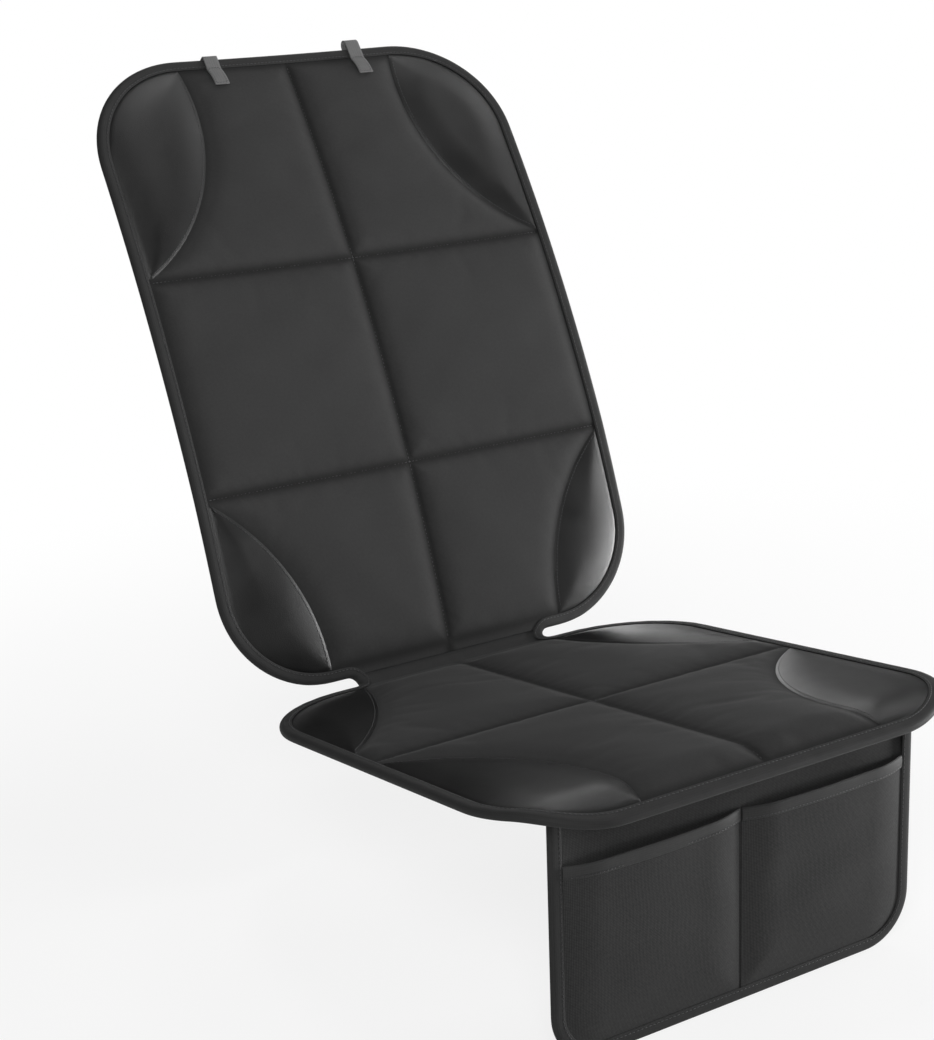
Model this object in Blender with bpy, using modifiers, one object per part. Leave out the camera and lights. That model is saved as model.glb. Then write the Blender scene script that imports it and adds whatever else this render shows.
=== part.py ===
"""Car seat protector mat, draped as it lies on a seat.

A quilted back section and a quilted seat section meet at a narrow waist. One tape binds
the whole edge, eight leatherette corner pads are let into the cloth, two webbing straps
go over the top edge, and a flap with two pockets hangs from the front of the seat section.

Each piece is first laid out flat: x runs across the mat, s along it (0 at the crease,
positive up the back, negative towards the front) and h up from the underside of the
padding. It is then bent along the seat's side profile. Left is -X, the front is -Y.
"""

import math

import bmesh
import bpy

# Outline of the mat, laid flat
MAT_WIDTH = 0.480
BACK_LENGTH = 0.675
SEAT_LENGTH = 0.516
BACK_TOP_RADIUS = 0.115
BACK_BOTTOM_RADIUS = 0.105
SEAT_REAR_RADIUS = 0.105
SEAT_FRONT_RADIUS = 0.095
NOTCH_DEPTH = 0.130
NOTCH_RADIUS = 0.009

# Side profile of the seat that the mat lies on
SEAT_TILT = math.radians(9.1)
BACK_LEAN = math.radians(17.5)
BACK_CURL = math.radians(21.0)
BACK_CUP = 0.005
CUP_START = 0.209
CREASE_RADIUS = 0.018
FRONT_ROLL_LENGTH = 0.048
FRONT_ROLL_ANGLE = math.radians(40.0)

# Layers
CLEARANCE = 0.0003
PAD_EDGE = 0.0045
PUFF_HEIGHT = 0.0065
SEAM_LIFT = 0.0004
PUFF_SHOULDER = 0.028
LINING_THICKNESS = 0.0008
LINING_PRESS = 0.0002
LINING_STEP = 0.0001
TAPE_THICKNESS = 0.0010
TAPE_WIDTH = 0.0120
TAPE_BEVEL = 0.0008
WAIST_THICKNESS = 0.0030

# Quilting seams
BACK_LOWER_SEAM = 0.209
BACK_UPPER_SEAM = 0.431
SEAT_CROSS_SEAM = 0.255
SEAM_NEAR = 0.006
SEAM_FAR = 0.018

# Leatherette corner pads: how far each reaches in from the mat's side, where it meets that
# side, and the bow of its edge
TOP_PATCH_REACH = 0.115
TOP_PATCH_SIDE = 0.433
TOP_PATCH_BOW = 0.042
BOTTOM_PATCH_REACH = 0.105
BOTTOM_PATCH_SIDE = 0.205
BOTTOM_PATCH_BOW = 0.024
REAR_PATCH_REACH = 0.128
REAR_PATCH_SIDE = 0.219
REAR_PATCH_BOW = 0.016
FRONT_PATCH_REACH = 0.115
FRONT_PATCH_SIDE = 0.265
FRONT_PATCH_BOW = 0.044
PATCH_RIM = 0.0012
PATCH_PUFF = 0.0045
PATCH_SEAT_DEPTH = 0.0002
PATCH_RINGS = (0.006, 0.008)

# Headrest straps
STRAP_SPACING = 0.170
STRAP_WIDTH = 0.016
STRAP_THICKNESS = 0.0014
STRAP_REACH = 0.037
STRAP_TAIL = 0.045
STRAP_LIFT = 0.0004
LEFT_STRAP_RISE = 0.0010
RIGHT_STRAP_RISE = 0.0100

# Flap with its pockets
FLAP_WIDTH = 0.384
FLAP_SETBACK = 0.046
FLAP_HEIGHT = 0.231
FLAP_RADIUS = 0.048
FLAP_THICKNESS = 0.0020
POCKET_THICKNESS = 0.0010
POCKET_TOP = 0.179
POCKET_BULGE = 0.0090
POCKET_DIVIDER = 0.0024
POCKET_SHOULDER = 0.0500
POCKET_STEP = 0.0180
HEM_WIDTH = 0.0110
HEM_THICKNESS = 0.0008

# Fineness of the bent faces
CORNER_STEPS = 8
NOTCH_STEPS = 8
ARC_STEPS = 9
CREASE_STEPS = 6
FRONT_STEPS = 5
BACK_STEP = 0.050
SEAT_STEP = 0.110
CROSS_STEP = 0.080
BEYOND = 0.050
LONG_RUN = 0.030
MERGE = 0.00002

HALF_WIDTH = MAT_WIDTH / 2
WAIST_WIDTH = MAT_WIDTH - 2 * NOTCH_DEPTH
CREASE_TURN = math.pi / 2 - BACK_LEAN + SEAT_TILT
CREASE_ARC = CREASE_RADIUS * CREASE_TURN
PAD_INSET = TAPE_THICKNESS + CLEARANCE
BORDER = TAPE_WIDTH + 2 * CLEARANCE
LINING_TOP = -CLEARANCE
LINING_LOW = LINING_TOP - LINING_THICKNESS
LINING_EDGE = LINING_LOW + LINING_PRESS
TAPE_LOW = LINING_EDGE - CLEARANCE
TAPE_HIGH = PAD_EDGE + CLEARANCE

FINISHES = {
    "cloth": ((0.036, 0.036, 0.038, 1.0), 0.85),
    "leatherette": ((0.014, 0.014, 0.016, 1.0), 0.38),
    "tape": ((0.026, 0.026, 0.028, 1.0), 0.75),
    "webbing": ((0.110, 0.110, 0.115, 1.0), 0.70),
    "lining": ((0.020, 0.020, 0.022, 1.0), 0.90),
    "pocket_cloth": ((0.042, 0.042, 0.044, 1.0), 0.88),
}


def clear_scene():
    """Remove whatever the file held before."""
    for item in list(bpy.data.objects):
        bpy.data.objects.remove(item, do_unlink=True)


def new_collection(name):
    """Return a new collection linked to the scene."""
    group = bpy.data.collections.new(name)
    bpy.context.scene.collection.children.link(group)
    return group


def make_materials():
    """Return one Principled material for each finish, by name."""
    made = {}
    for name, (colour, roughness) in FINISHES.items():
        material = bpy.data.materials.new(name)
        material.use_nodes = True
        shader = material.node_tree.nodes["Principled BSDF"]
        shader.inputs["Base Color"].default_value = colour
        shader.inputs["Roughness"].default_value = roughness
        shader.inputs["Metallic"].default_value = 0.0
        made[name] = material
    return made


# Side profile

def arc_step(y, z, heading, length, curvature):
    """Move along one arc of the profile and return the new place and heading."""
    if abs(curvature) < 1e-9:
        return y + length * math.cos(heading), z + length * math.sin(heading), heading
    turned = heading + curvature * length
    y += (math.sin(turned) - math.sin(heading)) / curvature
    z -= (math.cos(turned) - math.cos(heading)) / curvature
    return y, z, turned


def profile(s):
    """Return y, z and heading of the padding's underside at distance s from the crease."""
    crease = (CREASE_ARC / 2, CREASE_TURN / CREASE_ARC)
    back = (BACK_LENGTH - CREASE_ARC / 2, -BACK_CURL / (BACK_LENGTH - CREASE_ARC / 2))
    seat = (SEAT_LENGTH - FRONT_ROLL_LENGTH - CREASE_ARC / 2, 0.0)
    roll = (FRONT_ROLL_LENGTH, -FRONT_ROLL_ANGLE / FRONT_ROLL_LENGTH)
    beyond = (BEYOND, 0.0)
    way = (crease, back, beyond) if s >= 0 else (crease, seat, roll, beyond)
    sign = 1.0 if s >= 0 else -1.0
    y, z, heading = 0.0, 0.0, CREASE_TURN / 2 - SEAT_TILT
    left = abs(s)
    for length, curvature in way:
        step = min(length, left)
        y, z, heading = arc_step(y, z, heading, sign * step, curvature)
        left -= step
    return y, z, heading


def bend(x, s, h):
    """Place a point of the flat layout on the draped mat, in the frame of the profile."""
    y, z, heading = profile(s)
    h += BACK_CUP * (x / HALF_WIDTH) ** 2 * min(max(s / CUP_START, 0.0), 1.0)
    return x, y - h * math.sin(heading), z + h * math.cos(heading)


MOUNT_POINT = bend(0.0, -SEAT_LENGTH / 2, LINING_LOW)
FLAP_S = FLAP_SETBACK - SEAT_LENGTH
FLAP_ROOT = bend(0.0, FLAP_S, LINING_LOW - CLEARANCE)


def drape(x, s, h):
    """Place a point of the flat layout in the part's frame."""
    x, y, z = bend(x, s, h)
    return x, y - MOUNT_POINT[1], z - MOUNT_POINT[2]


def hang(x, v, h):
    """Place a point of the flap: v up from its bottom edge, h forward from its back face."""
    root_y = FLAP_ROOT[1] - MOUNT_POINT[1]
    root_z = FLAP_ROOT[2] - MOUNT_POINT[2]
    return x, root_y + FLAP_THICKNESS / 2 - h, root_z - FLAP_HEIGHT + v


# Outlines of the flat layout

def arc(cx, cs, radius, start, end, steps):
    """Return points on an arc, with its angles in degrees."""
    points = []
    for i in range(steps + 1):
        angle = math.radians(start + (end - start) * i / steps)
        points.append((cx + radius * math.cos(angle), cs + radius * math.sin(angle)))
    return points


def mirrored(right):
    """Close a right-hand outline with its mirror image."""
    return right + [(-x, s) for x, s in reversed(right)]


def back_corners(inset):
    """Return the back section's right-hand corners, bottom first."""
    bottom, top = BACK_BOTTOM_RADIUS, BACK_TOP_RADIUS
    low = arc(HALF_WIDTH - bottom, NOTCH_RADIUS + bottom, bottom - inset, -90, 0, CORNER_STEPS)
    high = arc(HALF_WIDTH - top, BACK_LENGTH - top, top - inset, 0, 90, CORNER_STEPS)
    return low + high


def seat_corners(inset):
    """Return the seat section's right-hand corners, front first."""
    rear, front = SEAT_REAR_RADIUS, SEAT_FRONT_RADIUS
    low = arc(HALF_WIDTH - front, front - SEAT_LENGTH, front - inset, -90, 0, CORNER_STEPS)
    high = arc(HALF_WIDTH - rear, -NOTCH_RADIUS - rear, rear - inset, 0, 90, CORNER_STEPS)
    return low + high


def mat_outline(inset):
    """Return the whole outline, moved in from the edge by inset."""
    tip = arc(WAIST_WIDTH / 2 + NOTCH_RADIUS, 0.0, NOTCH_RADIUS + inset, 270, 90, NOTCH_STEPS)
    return mirrored(seat_corners(inset) + tip + back_corners(inset))


def waist_outline():
    """Return the outline of the fold between the two padded sections."""
    radius = NOTCH_RADIUS + PAD_INSET
    reach = math.degrees(math.asin((radius - CLEARANCE) / radius))
    side = arc(WAIST_WIDTH / 2 + NOTCH_RADIUS, 0.0, radius, 180 + reach, 180 - reach, NOTCH_STEPS)
    return mirrored(side)


def flap_outline(inset, top):
    """Return the flap's outline, moved in by inset at its sides and bottom."""
    middle = FLAP_WIDTH / 2 - FLAP_RADIUS
    corner = arc(middle, FLAP_RADIUS, FLAP_RADIUS - inset, -90, 0, CORNER_STEPS)
    return mirrored(corner + [(FLAP_WIDTH / 2 - inset, top)])


class Panel:
    """One padded section: its ends, its corners and its quilting seams."""

    def __init__(self, low, high, low_radius, high_radius, seams):
        self.low = low
        self.high = high
        self.low_radius = low_radius
        self.high_radius = high_radius
        self.seams = seams

    def edge_distance(self, x, s):
        """Return how far a point lies inside the section's outline."""
        x = abs(x)
        side = HALF_WIDTH - x
        for end, radius, sign in ((self.low, self.low_radius, 1), (self.high, self.high_radius, -1)):
            across = x - (HALF_WIDTH - radius)
            along = end + sign * radius - s
            if across > 0 and along * sign > 0:
                return radius - math.hypot(across, along)
        return min(side, s - self.low, self.high - s)


BACK = Panel(NOTCH_RADIUS, BACK_LENGTH, BACK_BOTTOM_RADIUS, BACK_TOP_RADIUS,
             (BACK_LOWER_SEAM, BACK_UPPER_SEAM))
SEAT = Panel(-SEAT_LENGTH, -NOTCH_RADIUS, SEAT_FRONT_RADIUS, SEAT_REAR_RADIUS,
             (-SEAT_CROSS_SEAM,))


class Patch:
    """A leatherette corner pad on the right, between a bowed seam and the corner."""

    def __init__(self, panel, end, reach, side_s, bow):
        self.panel = panel
        self.outward = 1 if end > side_s else -1
        self.end = end
        self.start = (HALF_WIDTH - reach, end - self.outward * BORDER)
        self.finish = (HALF_WIDTH - BORDER, side_s)
        across = self.finish[0] - self.start[0]
        along = self.finish[1] - self.start[1]
        chord = math.hypot(across, along)
        self.radius = (chord * chord / 4 + bow * bow) / (2 * bow)
        middle = ((self.start[0] + self.finish[0]) / 2, (self.start[1] + self.finish[1]) / 2)
        offset = self.radius - bow
        towards = (self.outward * -along / chord, self.outward * across / chord)
        self.centre = (middle[0] + towards[0] * offset, middle[1] + towards[1] * offset)

    def seam_distance(self, x, s):
        """Return the distance outside the bowed seam, less than zero inside it."""
        return math.hypot(x - self.centre[0], s - self.centre[1]) - self.radius

    def outline(self, spread):
        """Return the outline, grown by spread, from the side round the corner to the end."""
        corner = self.panel.high_radius if self.outward > 0 else self.panel.low_radius
        radius = corner - BORDER + spread
        middle = (HALF_WIDTH - corner, self.end - self.outward * corner)
        outer = arc(*middle, radius, 0, 90 * self.outward, CORNER_STEPS)
        first = self.angle_at(self.start)
        last = self.angle_at(self.finish)
        inner = arc(*self.centre, self.radius + spread, first, last, ARC_STEPS)
        inner[0] = (inner[0][0], self.start[1] + self.outward * spread)
        inner[-1] = (self.finish[0] + spread, inner[-1][1])
        if math.dist(outer[-1], inner[0]) < MERGE:
            outer.pop()
        points = outer + inner
        return points if self.outward > 0 else points[::-1]

    def angle_at(self, point):
        """Return the direction from the seam's centre to a point, in degrees."""
        return math.degrees(math.atan2(point[1] - self.centre[1], point[0] - self.centre[0])) % 360


PATCHES = {
    "back_patch_top": Patch(BACK, BACK_LENGTH, TOP_PATCH_REACH, TOP_PATCH_SIDE, TOP_PATCH_BOW),
    "back_patch_bottom": Patch(BACK, NOTCH_RADIUS, BOTTOM_PATCH_REACH, BOTTOM_PATCH_SIDE,
                               BOTTOM_PATCH_BOW),
    "seat_patch_rear": Patch(SEAT, -NOTCH_RADIUS, REAR_PATCH_REACH, -REAR_PATCH_SIDE,
                             REAR_PATCH_BOW),
    "seat_patch_front": Patch(SEAT, -SEAT_LENGTH, FRONT_PATCH_REACH, -FRONT_PATCH_SIDE,
                              FRONT_PATCH_BOW),
}


# Relief

def pillow(distance):
    """Return how far padding has risen, 0 to 1, at a distance from what holds it down."""
    t = min(max(distance / PUFF_SHOULDER, 0.0), 1.0)
    return 1 - (1 - t) ** 2


def pad_height(panel, x, s):
    """Return the height of a padded section's face."""
    edge = panel.edge_distance(x, s) - BORDER
    if edge <= 1e-5:
        return PAD_EDGE
    held = [edge, abs(x)] + [abs(s - seam) for seam in panel.seams]
    for patch in PATCHES.values():
        if patch.panel is panel:
            held.append(abs(patch.seam_distance(abs(x), s)))
    lift = SEAM_LIFT * min(edge / SEAM_NEAR, 1.0)
    return PAD_EDGE + lift + PUFF_HEIGHT * pillow(min(held))


def patch_height(patch, x, s):
    """Return the height of a corner pad's face."""
    edge = patch.panel.edge_distance(x, s) - BORDER
    held = min(edge, -patch.seam_distance(abs(x), s))
    return PAD_EDGE + PATCH_RIM + PATCH_PUFF * pillow(held)


# Levels at which flat pieces are sliced, so that they bend evenly

def spread(low, high, step):
    """Return even levels from low to high, no further apart than step."""
    count = max(1, math.ceil((high - low) / step - 1e-6))
    return [low + (high - low) * i / count for i in range(count + 1)]


def bend_levels():
    """Return the levels along the mat that every bent piece shares."""
    roll_end = FRONT_ROLL_LENGTH - SEAT_LENGTH
    levels = spread(-SEAT_LENGTH, roll_end, FRONT_ROLL_LENGTH / FRONT_STEPS)
    levels += spread(roll_end, -SEAT_CROSS_SEAM, SEAT_STEP)
    levels += spread(-SEAT_CROSS_SEAM, -CREASE_ARC / 2, SEAT_STEP)
    levels += spread(-CREASE_ARC / 2, CREASE_ARC / 2, CREASE_ARC / CREASE_STEPS)
    levels += spread(CREASE_ARC / 2, BACK_LOWER_SEAM, BACK_STEP)
    levels += spread(BACK_LOWER_SEAM, BACK_UPPER_SEAM, BACK_STEP)
    levels += spread(BACK_UPPER_SEAM, BACK_LENGTH, BACK_STEP)
    return sorted(set(round(level, 6) for level in levels))


def cross_levels():
    """Return the levels across the mat that every bent piece shares."""
    return spread(-HALF_WIDTH, HALF_WIDTH, CROSS_STEP)


def seam_levels(seams):
    """Return the levels beside each seam that give its groove a shape."""
    return [seam + side * step for seam in seams for side in (-1, 1) for step in (SEAM_NEAR, SEAM_FAR)]


# Mesh tools

def curve_sheet(name, outline, group):
    """Return one flat face of a closed outline, as a mesh object."""
    curve = bpy.data.curves.new(name, "CURVE")
    curve.dimensions = "2D"
    curve.fill_mode = "BOTH"
    spline = curve.splines.new("POLY")
    spline.points.add(len(outline) - 1)
    for point, (x, s) in zip(spline.points, outline):
        point.co = (x, s, 0.0, 1.0)
    spline.use_cyclic_u = True
    drawn = bpy.data.objects.new(name, curve)
    group.objects.link(drawn)
    bpy.context.view_layer.update()
    seen = drawn.evaluated_get(bpy.context.evaluated_depsgraph_get())
    mesh = bpy.data.meshes.new_from_object(seen)
    bpy.data.objects.remove(drawn, do_unlink=True)
    bm = bmesh.new()
    bm.from_mesh(mesh)
    bmesh.ops.dissolve_limit(bm, angle_limit=math.radians(0.5), verts=bm.verts, edges=bm.edges)
    inner = [edge for edge in bm.edges if not edge.is_boundary]
    if inner:
        bmesh.ops.delete(bm, geom=inner, context="EDGES")
        bmesh.ops.contextual_create(bm, geom=bm.edges[:])
    bm.to_mesh(mesh)
    bm.free()
    sheet = bpy.data.objects.new(name, mesh)
    group.objects.link(sheet)
    return sheet


def thicken(bm, low, high):
    """Turn a flat sheet into a slab between two heights."""
    made = bmesh.ops.extrude_face_region(bm, geom=bm.faces[:])["geom"]
    raised = [part for part in made if isinstance(part, bmesh.types.BMVert)]
    bmesh.ops.translate(bm, verts=bm.verts[:], vec=(0.0, 0.0, low))
    bmesh.ops.translate(bm, verts=raised, vec=(0.0, 0.0, high - low))
    face_outward(bm)


def face_outward(bm):
    """Turn every face of a closed mesh outward."""
    bm.normal_update()
    bmesh.ops.recalc_face_normals(bm, faces=bm.faces)
    if bm.calc_volume(signed=True) < 0.0:
        bmesh.ops.reverse_faces(bm, faces=bm.faces)


def curve_slab(name, outline, low, high, group):
    """Return a slab of a flat outline between two heights, as a mesh object."""
    slab = curve_sheet(name, outline, group)
    bm = bmesh.new()
    bm.from_mesh(slab.data)
    thicken(bm, low, high)
    bm.to_mesh(slab.data)
    bm.free()
    return slab


def cut(target, cutter):
    """Cut one flat piece from another and remove the cutter."""
    modifier = target.modifiers.new("cut", "BOOLEAN")
    modifier.operation = "DIFFERENCE"
    modifier.solver = "EXACT"
    modifier.object = cutter
    bpy.context.view_layer.update()
    seen = target.evaluated_get(bpy.context.evaluated_depsgraph_get())
    mesh = bpy.data.meshes.new_from_object(seen)
    target.modifiers.clear()
    bm = bmesh.new()
    bm.from_mesh(mesh)
    bmesh.ops.remove_doubles(bm, verts=bm.verts, dist=MERGE)
    bmesh.ops.dissolve_degenerate(bm, edges=bm.edges, dist=MERGE)
    bm.to_mesh(mesh)
    bm.free()
    target.data = mesh
    bpy.data.objects.remove(cutter, do_unlink=True)


def slice_mesh(bm, across, along):
    """Cut faces at levels across and along the mat, so that they can bend there."""
    for axis, levels in ((0, across), (1, along)):
        normal = (1.0, 0.0, 0.0) if axis == 0 else (0.0, 1.0, 0.0)
        for level in levels:
            place = tuple(level * part for part in normal)
            geometry = bm.verts[:] + bm.edges[:] + bm.faces[:]
            bmesh.ops.bisect_plane(bm, geom=geometry, dist=1e-5, plane_co=place, plane_no=normal)


def inset_top(bm, depth):
    """Inset the largest upward face by depth."""
    top = max(bm.faces, key=lambda face: (face.normal.z > 0.9, face.calc_area()))
    bmesh.ops.inset_region(bm, faces=[top], thickness=depth, use_even_offset=True,
                           use_boundary=True)


def press_edge(item, depth, height):
    """Lower the underside of a slab by height, except along its edge, depth wide."""
    bm = bmesh.new()
    bm.from_mesh(item.data)
    bm.normal_update()
    under = max(bm.faces, key=lambda face: (face.normal.z < -0.9, face.calc_area()))
    for thickness in (depth, LINING_STEP):
        bmesh.ops.inset_region(bm, faces=[under], thickness=thickness, use_even_offset=True,
                               use_boundary=True)
    bmesh.ops.translate(bm, verts=under.verts[:], vec=(0.0, 0.0, -height))
    bm.to_mesh(item.data)
    bm.free()


def section(item, across, along, rings=()):
    """Inset a slab's top face by each ring and slice the slab at the levels."""
    bm = bmesh.new()
    bm.from_mesh(item.data)
    for depth in rings:
        inset_top(bm, depth)
    slice_mesh(bm, across, along)
    bm.to_mesh(item.data)
    bm.free()


def lift(item, height):
    """Raise the points of a slab's flat top to height(x, s)."""
    bm = bmesh.new()
    bm.from_mesh(item.data)
    bmesh.ops.triangulate(bm, faces=bm.faces)
    top = max(vert.co.z for vert in bm.verts)
    for vert in bm.verts:
        if vert.co.z > top - 1e-5:
            vert.co.z = height(vert.co.x, vert.co.y)
    bm.to_mesh(item.data)
    bm.free()


def finish(item, material, place):
    """Triangulate a flat piece, move each point to its place and dress it."""
    bm = bmesh.new()
    bm.from_mesh(item.data)
    bmesh.ops.triangulate(bm, faces=bm.faces)
    for vert in bm.verts:
        vert.co = place(*vert.co)
    face_outward(bm)
    bm.to_mesh(item.data)
    bm.free()
    item.data.materials.clear()
    item.data.materials.append(material)
    item.data.shade_smooth()
    item.data.set_sharp_from_angle(angle=math.radians(35))


def mirror_copy(item, name, group):
    """Return a mirrored copy of a finished right-hand piece."""
    twin = bpy.data.objects.new(name, item.data.copy())
    bm = bmesh.new()
    bm.from_mesh(twin.data)
    bmesh.ops.scale(bm, verts=bm.verts, vec=(-1.0, 1.0, 1.0))
    bmesh.ops.reverse_faces(bm, faces=bm.faces)
    bm.to_mesh(twin.data)
    bm.free()
    group.objects.link(twin)
    return twin


# Padded sections

def panel_levels(panel):
    """Return the bend levels that lie within one section."""
    return [level for level in bend_levels() if panel.low < level < panel.high]


def make_pad(name, panel, corners, group, materials):
    """Build a quilted section with recesses for its corner pads."""
    pad = curve_slab(name, mirrored(corners(PAD_INSET)), 0.0, PAD_EDGE, group)
    across = cross_levels() + seam_levels((0.0,))
    along = panel_levels(panel) + seam_levels(panel.seams)
    section(pad, across, along, (BORDER - PAD_INSET, PUFF_SHOULDER / 3, PUFF_SHOULDER / 3))
    floor = PAD_EDGE - PATCH_SEAT_DEPTH
    for patch in PATCHES.values():
        if patch.panel is not panel:
            continue
        right = patch.outline(CLEARANCE)
        left = [(-x, s) for x, s in reversed(right)]
        for outline in (right, left):
            recess = curve_slab("recess", outline, floor, floor + BEYOND, group)
            section(recess, cross_levels(), panel_levels(panel))
            cut(pad, recess)
    lift(pad, lambda x, s: pad_height(panel, x, s))
    finish(pad, materials["cloth"], drape)


def make_waist(group, materials):
    """Build the cloth fold that joins the two padded sections."""
    fold = curve_slab("waist_fold", waist_outline(), 0.0, WAIST_THICKNESS, group)
    section(fold, cross_levels(), [level for level in bend_levels() if abs(level) < CREASE_ARC])
    finish(fold, materials["cloth"], drape)


def make_lining(group, materials):
    """Build the underside cloth, one sheet from front to top, pressed thinner by the tape."""
    sheet = curve_slab("mat_lining", mat_outline(PAD_INSET), LINING_EDGE, LINING_TOP, group)
    press_edge(sheet, BORDER - PAD_INSET, LINING_PRESS)
    section(sheet, cross_levels(), bend_levels())
    finish(sheet, materials["lining"], drape)


def tape_profile(group):
    """Return the folded tape's cross-section as a closed curve, its fold at x = 0."""
    low, high = TAPE_LOW - TAPE_THICKNESS, TAPE_HIGH + TAPE_THICKNESS
    outside = [(TAPE_WIDTH, high), (TAPE_BEVEL, high), (0.0, high - TAPE_BEVEL),
               (0.0, low + TAPE_BEVEL), (TAPE_BEVEL, low), (TAPE_WIDTH, low)]
    inside = [(TAPE_WIDTH, TAPE_LOW), (TAPE_THICKNESS, TAPE_LOW),
              (TAPE_THICKNESS, TAPE_HIGH), (TAPE_WIDTH, TAPE_HIGH)]
    curve = bpy.data.curves.new("tape_profile", "CURVE")
    curve.dimensions = "2D"
    curve.fill_mode = "NONE"
    spline = curve.splines.new("POLY")
    spline.points.add(len(outside + inside) - 1)
    for point, (x, h) in zip(spline.points, outside + inside):
        point.co = (x, h, 0.0, 1.0)
    spline.use_cyclic_u = True
    drawn = bpy.data.objects.new("tape_profile", curve)
    group.objects.link(drawn)
    return drawn


def crossed(outline, across, along):
    """Return a closed outline with a point wherever a long straight run crosses a level."""
    points = []
    for start, end in zip(outline, outline[1:] + outline[:1]):
        points.append(start)
        if math.dist(start, end) < LONG_RUN:
            continue
        cuts = set()
        for axis, levels in ((0, across), (1, along)):
            reach = end[axis] - start[axis]
            for level in levels:
                if abs(reach) > 1e-9 and 0.05 < (level - start[axis]) / reach < 0.95:
                    cuts.add(round((level - start[axis]) / reach, 4))
        for t in sorted(cuts):
            points.append((start[0] + t * (end[0] - start[0]), start[1] + t * (end[1] - start[1])))
    return points


def make_binding(group, materials):
    """Build the folded tape by sweeping its cross-section round the mat's edge."""
    section_curve = tape_profile(group)
    curve = bpy.data.curves.new("edge_binding", "CURVE")
    curve.dimensions = "2D"
    curve.fill_mode = "NONE"
    curve.bevel_mode = "OBJECT"
    curve.bevel_object = section_curve
    outline = crossed(mat_outline(0.0), cross_levels(), bend_levels())
    spline = curve.splines.new("POLY")
    spline.points.add(len(outline) - 1)
    for point, (x, s) in zip(spline.points, outline):
        point.co = (x, s, 0.0, 1.0)
    spline.use_cyclic_u = True
    drawn = bpy.data.objects.new("edge_binding", curve)
    group.objects.link(drawn)
    bpy.context.view_layer.update()
    seen = drawn.evaluated_get(bpy.context.evaluated_depsgraph_get())
    mesh = bpy.data.meshes.new_from_object(seen)
    bpy.data.objects.remove(drawn, do_unlink=True)
    bpy.data.objects.remove(section_curve, do_unlink=True)
    tape = bpy.data.objects.new("edge_binding", mesh)
    group.objects.link(tape)
    curved = [level for level in bend_levels()
              if abs(level) <= CREASE_ARC / 2 + MERGE or level <= FRONT_ROLL_LENGTH - SEAT_LENGTH]
    section(tape, (), curved)
    finish(tape, materials["tape"], drape)


def make_patches(group, materials):
    """Build the eight leatherette corner pads."""
    for name, patch in PATCHES.items():
        low = PAD_EDGE - PATCH_SEAT_DEPTH + CLEARANCE
        pad = curve_slab(f"{name}_right", patch.outline(0.0), low, PAD_EDGE + PATCH_RIM, group)
        section(pad, cross_levels(), panel_levels(patch.panel), PATCH_RINGS)
        lift(pad, lambda x, s, patch=patch: patch_height(patch, x, s))
        finish(pad, materials["leatherette"], drape)
        mirror_copy(pad, f"{name}_left", group)


# Headrest straps

def strap_path(rise):
    """Return the strap's side view, from its sewn end over the top edge to its tail."""
    face = TAPE_HIGH + TAPE_THICKNESS + STRAP_LIFT
    rear = TAPE_LOW - TAPE_THICKNESS - STRAP_LIFT
    path = []
    start = BACK_LENGTH - STRAP_REACH
    for s in spread(start, BACK_LENGTH - TAPE_WIDTH, STRAP_REACH / 5):
        padding = pad_height(BACK, STRAP_SPACING / 2, s) + STRAP_LIFT
        path.append((s, max(padding, face)))
    turn = (face - rear) / 2
    middle = (face + rear) / 2
    for i in range(CORNER_STEPS + 1):
        angle = math.pi * i / CORNER_STEPS
        along = BACK_LENGTH + rise * math.sin(angle) ** 0.5 + STRAP_LIFT
        path.append((along, middle + turn * math.cos(angle)))
    path.append((BACK_LENGTH - TAPE_WIDTH, rear))
    path.append((BACK_LENGTH - STRAP_TAIL, rear))
    return path


def make_strap(name, x, rise, group, materials):
    """Build one webbing strap as a ribbon that goes over the top edge."""
    bm = bmesh.new()
    rail = [bm.verts.new((x - STRAP_WIDTH / 2, s, h)) for s, h in strap_path(rise)]
    edges = [bm.edges.new(pair) for pair in zip(rail, rail[1:])]
    made = bmesh.ops.extrude_edge_only(bm, edges=edges)["geom"]
    moved = [part for part in made if isinstance(part, bmesh.types.BMVert)]
    bmesh.ops.translate(bm, verts=moved, vec=(STRAP_WIDTH, 0.0, 0.0))
    mesh = bpy.data.meshes.new(name)
    bm.to_mesh(mesh)
    bm.free()
    strap = bpy.data.objects.new(name, mesh)
    group.objects.link(strap)
    thicken = strap.modifiers.new("webbing", "SOLIDIFY")
    thicken.thickness = STRAP_THICKNESS
    thicken.offset = 1.0
    thicken.use_even_offset = True
    bpy.context.view_layer.update()
    seen = strap.evaluated_get(bpy.context.evaluated_depsgraph_get())
    strap.data = bpy.data.meshes.new_from_object(seen)
    strap.modifiers.clear()
    finish(strap, materials["webbing"], drape)


# Flap and pockets

def pocket_bulge(x, v):
    """Return how far a pocket's cloth stands forward of where it is sewn down."""
    middle = FLAP_WIDTH / 2 - FLAP_RADIUS
    across, along = abs(x) - middle, FLAP_RADIUS - v
    edge = min(FLAP_WIDTH / 2 - abs(x), v)
    if across > 0.0 and along > 0.0:
        edge = FLAP_RADIUS - math.hypot(across, along)
    side = min(edge - TAPE_WIDTH, abs(x) - POCKET_DIVIDER)
    if side <= 1e-5:
        return 0.0
    swell = min(side / POCKET_SHOULDER, 1.0)
    rise = min(v / POCKET_TOP, 1.0)
    return POCKET_BULGE * (1 - (1 - swell) ** 2) * (0.35 + 0.65 * rise)


def pocket_place(x, v, h):
    """Place a point of a pocket's cloth or hem on the flap."""
    return hang(x, v, h + pocket_bulge(x, v))


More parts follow.
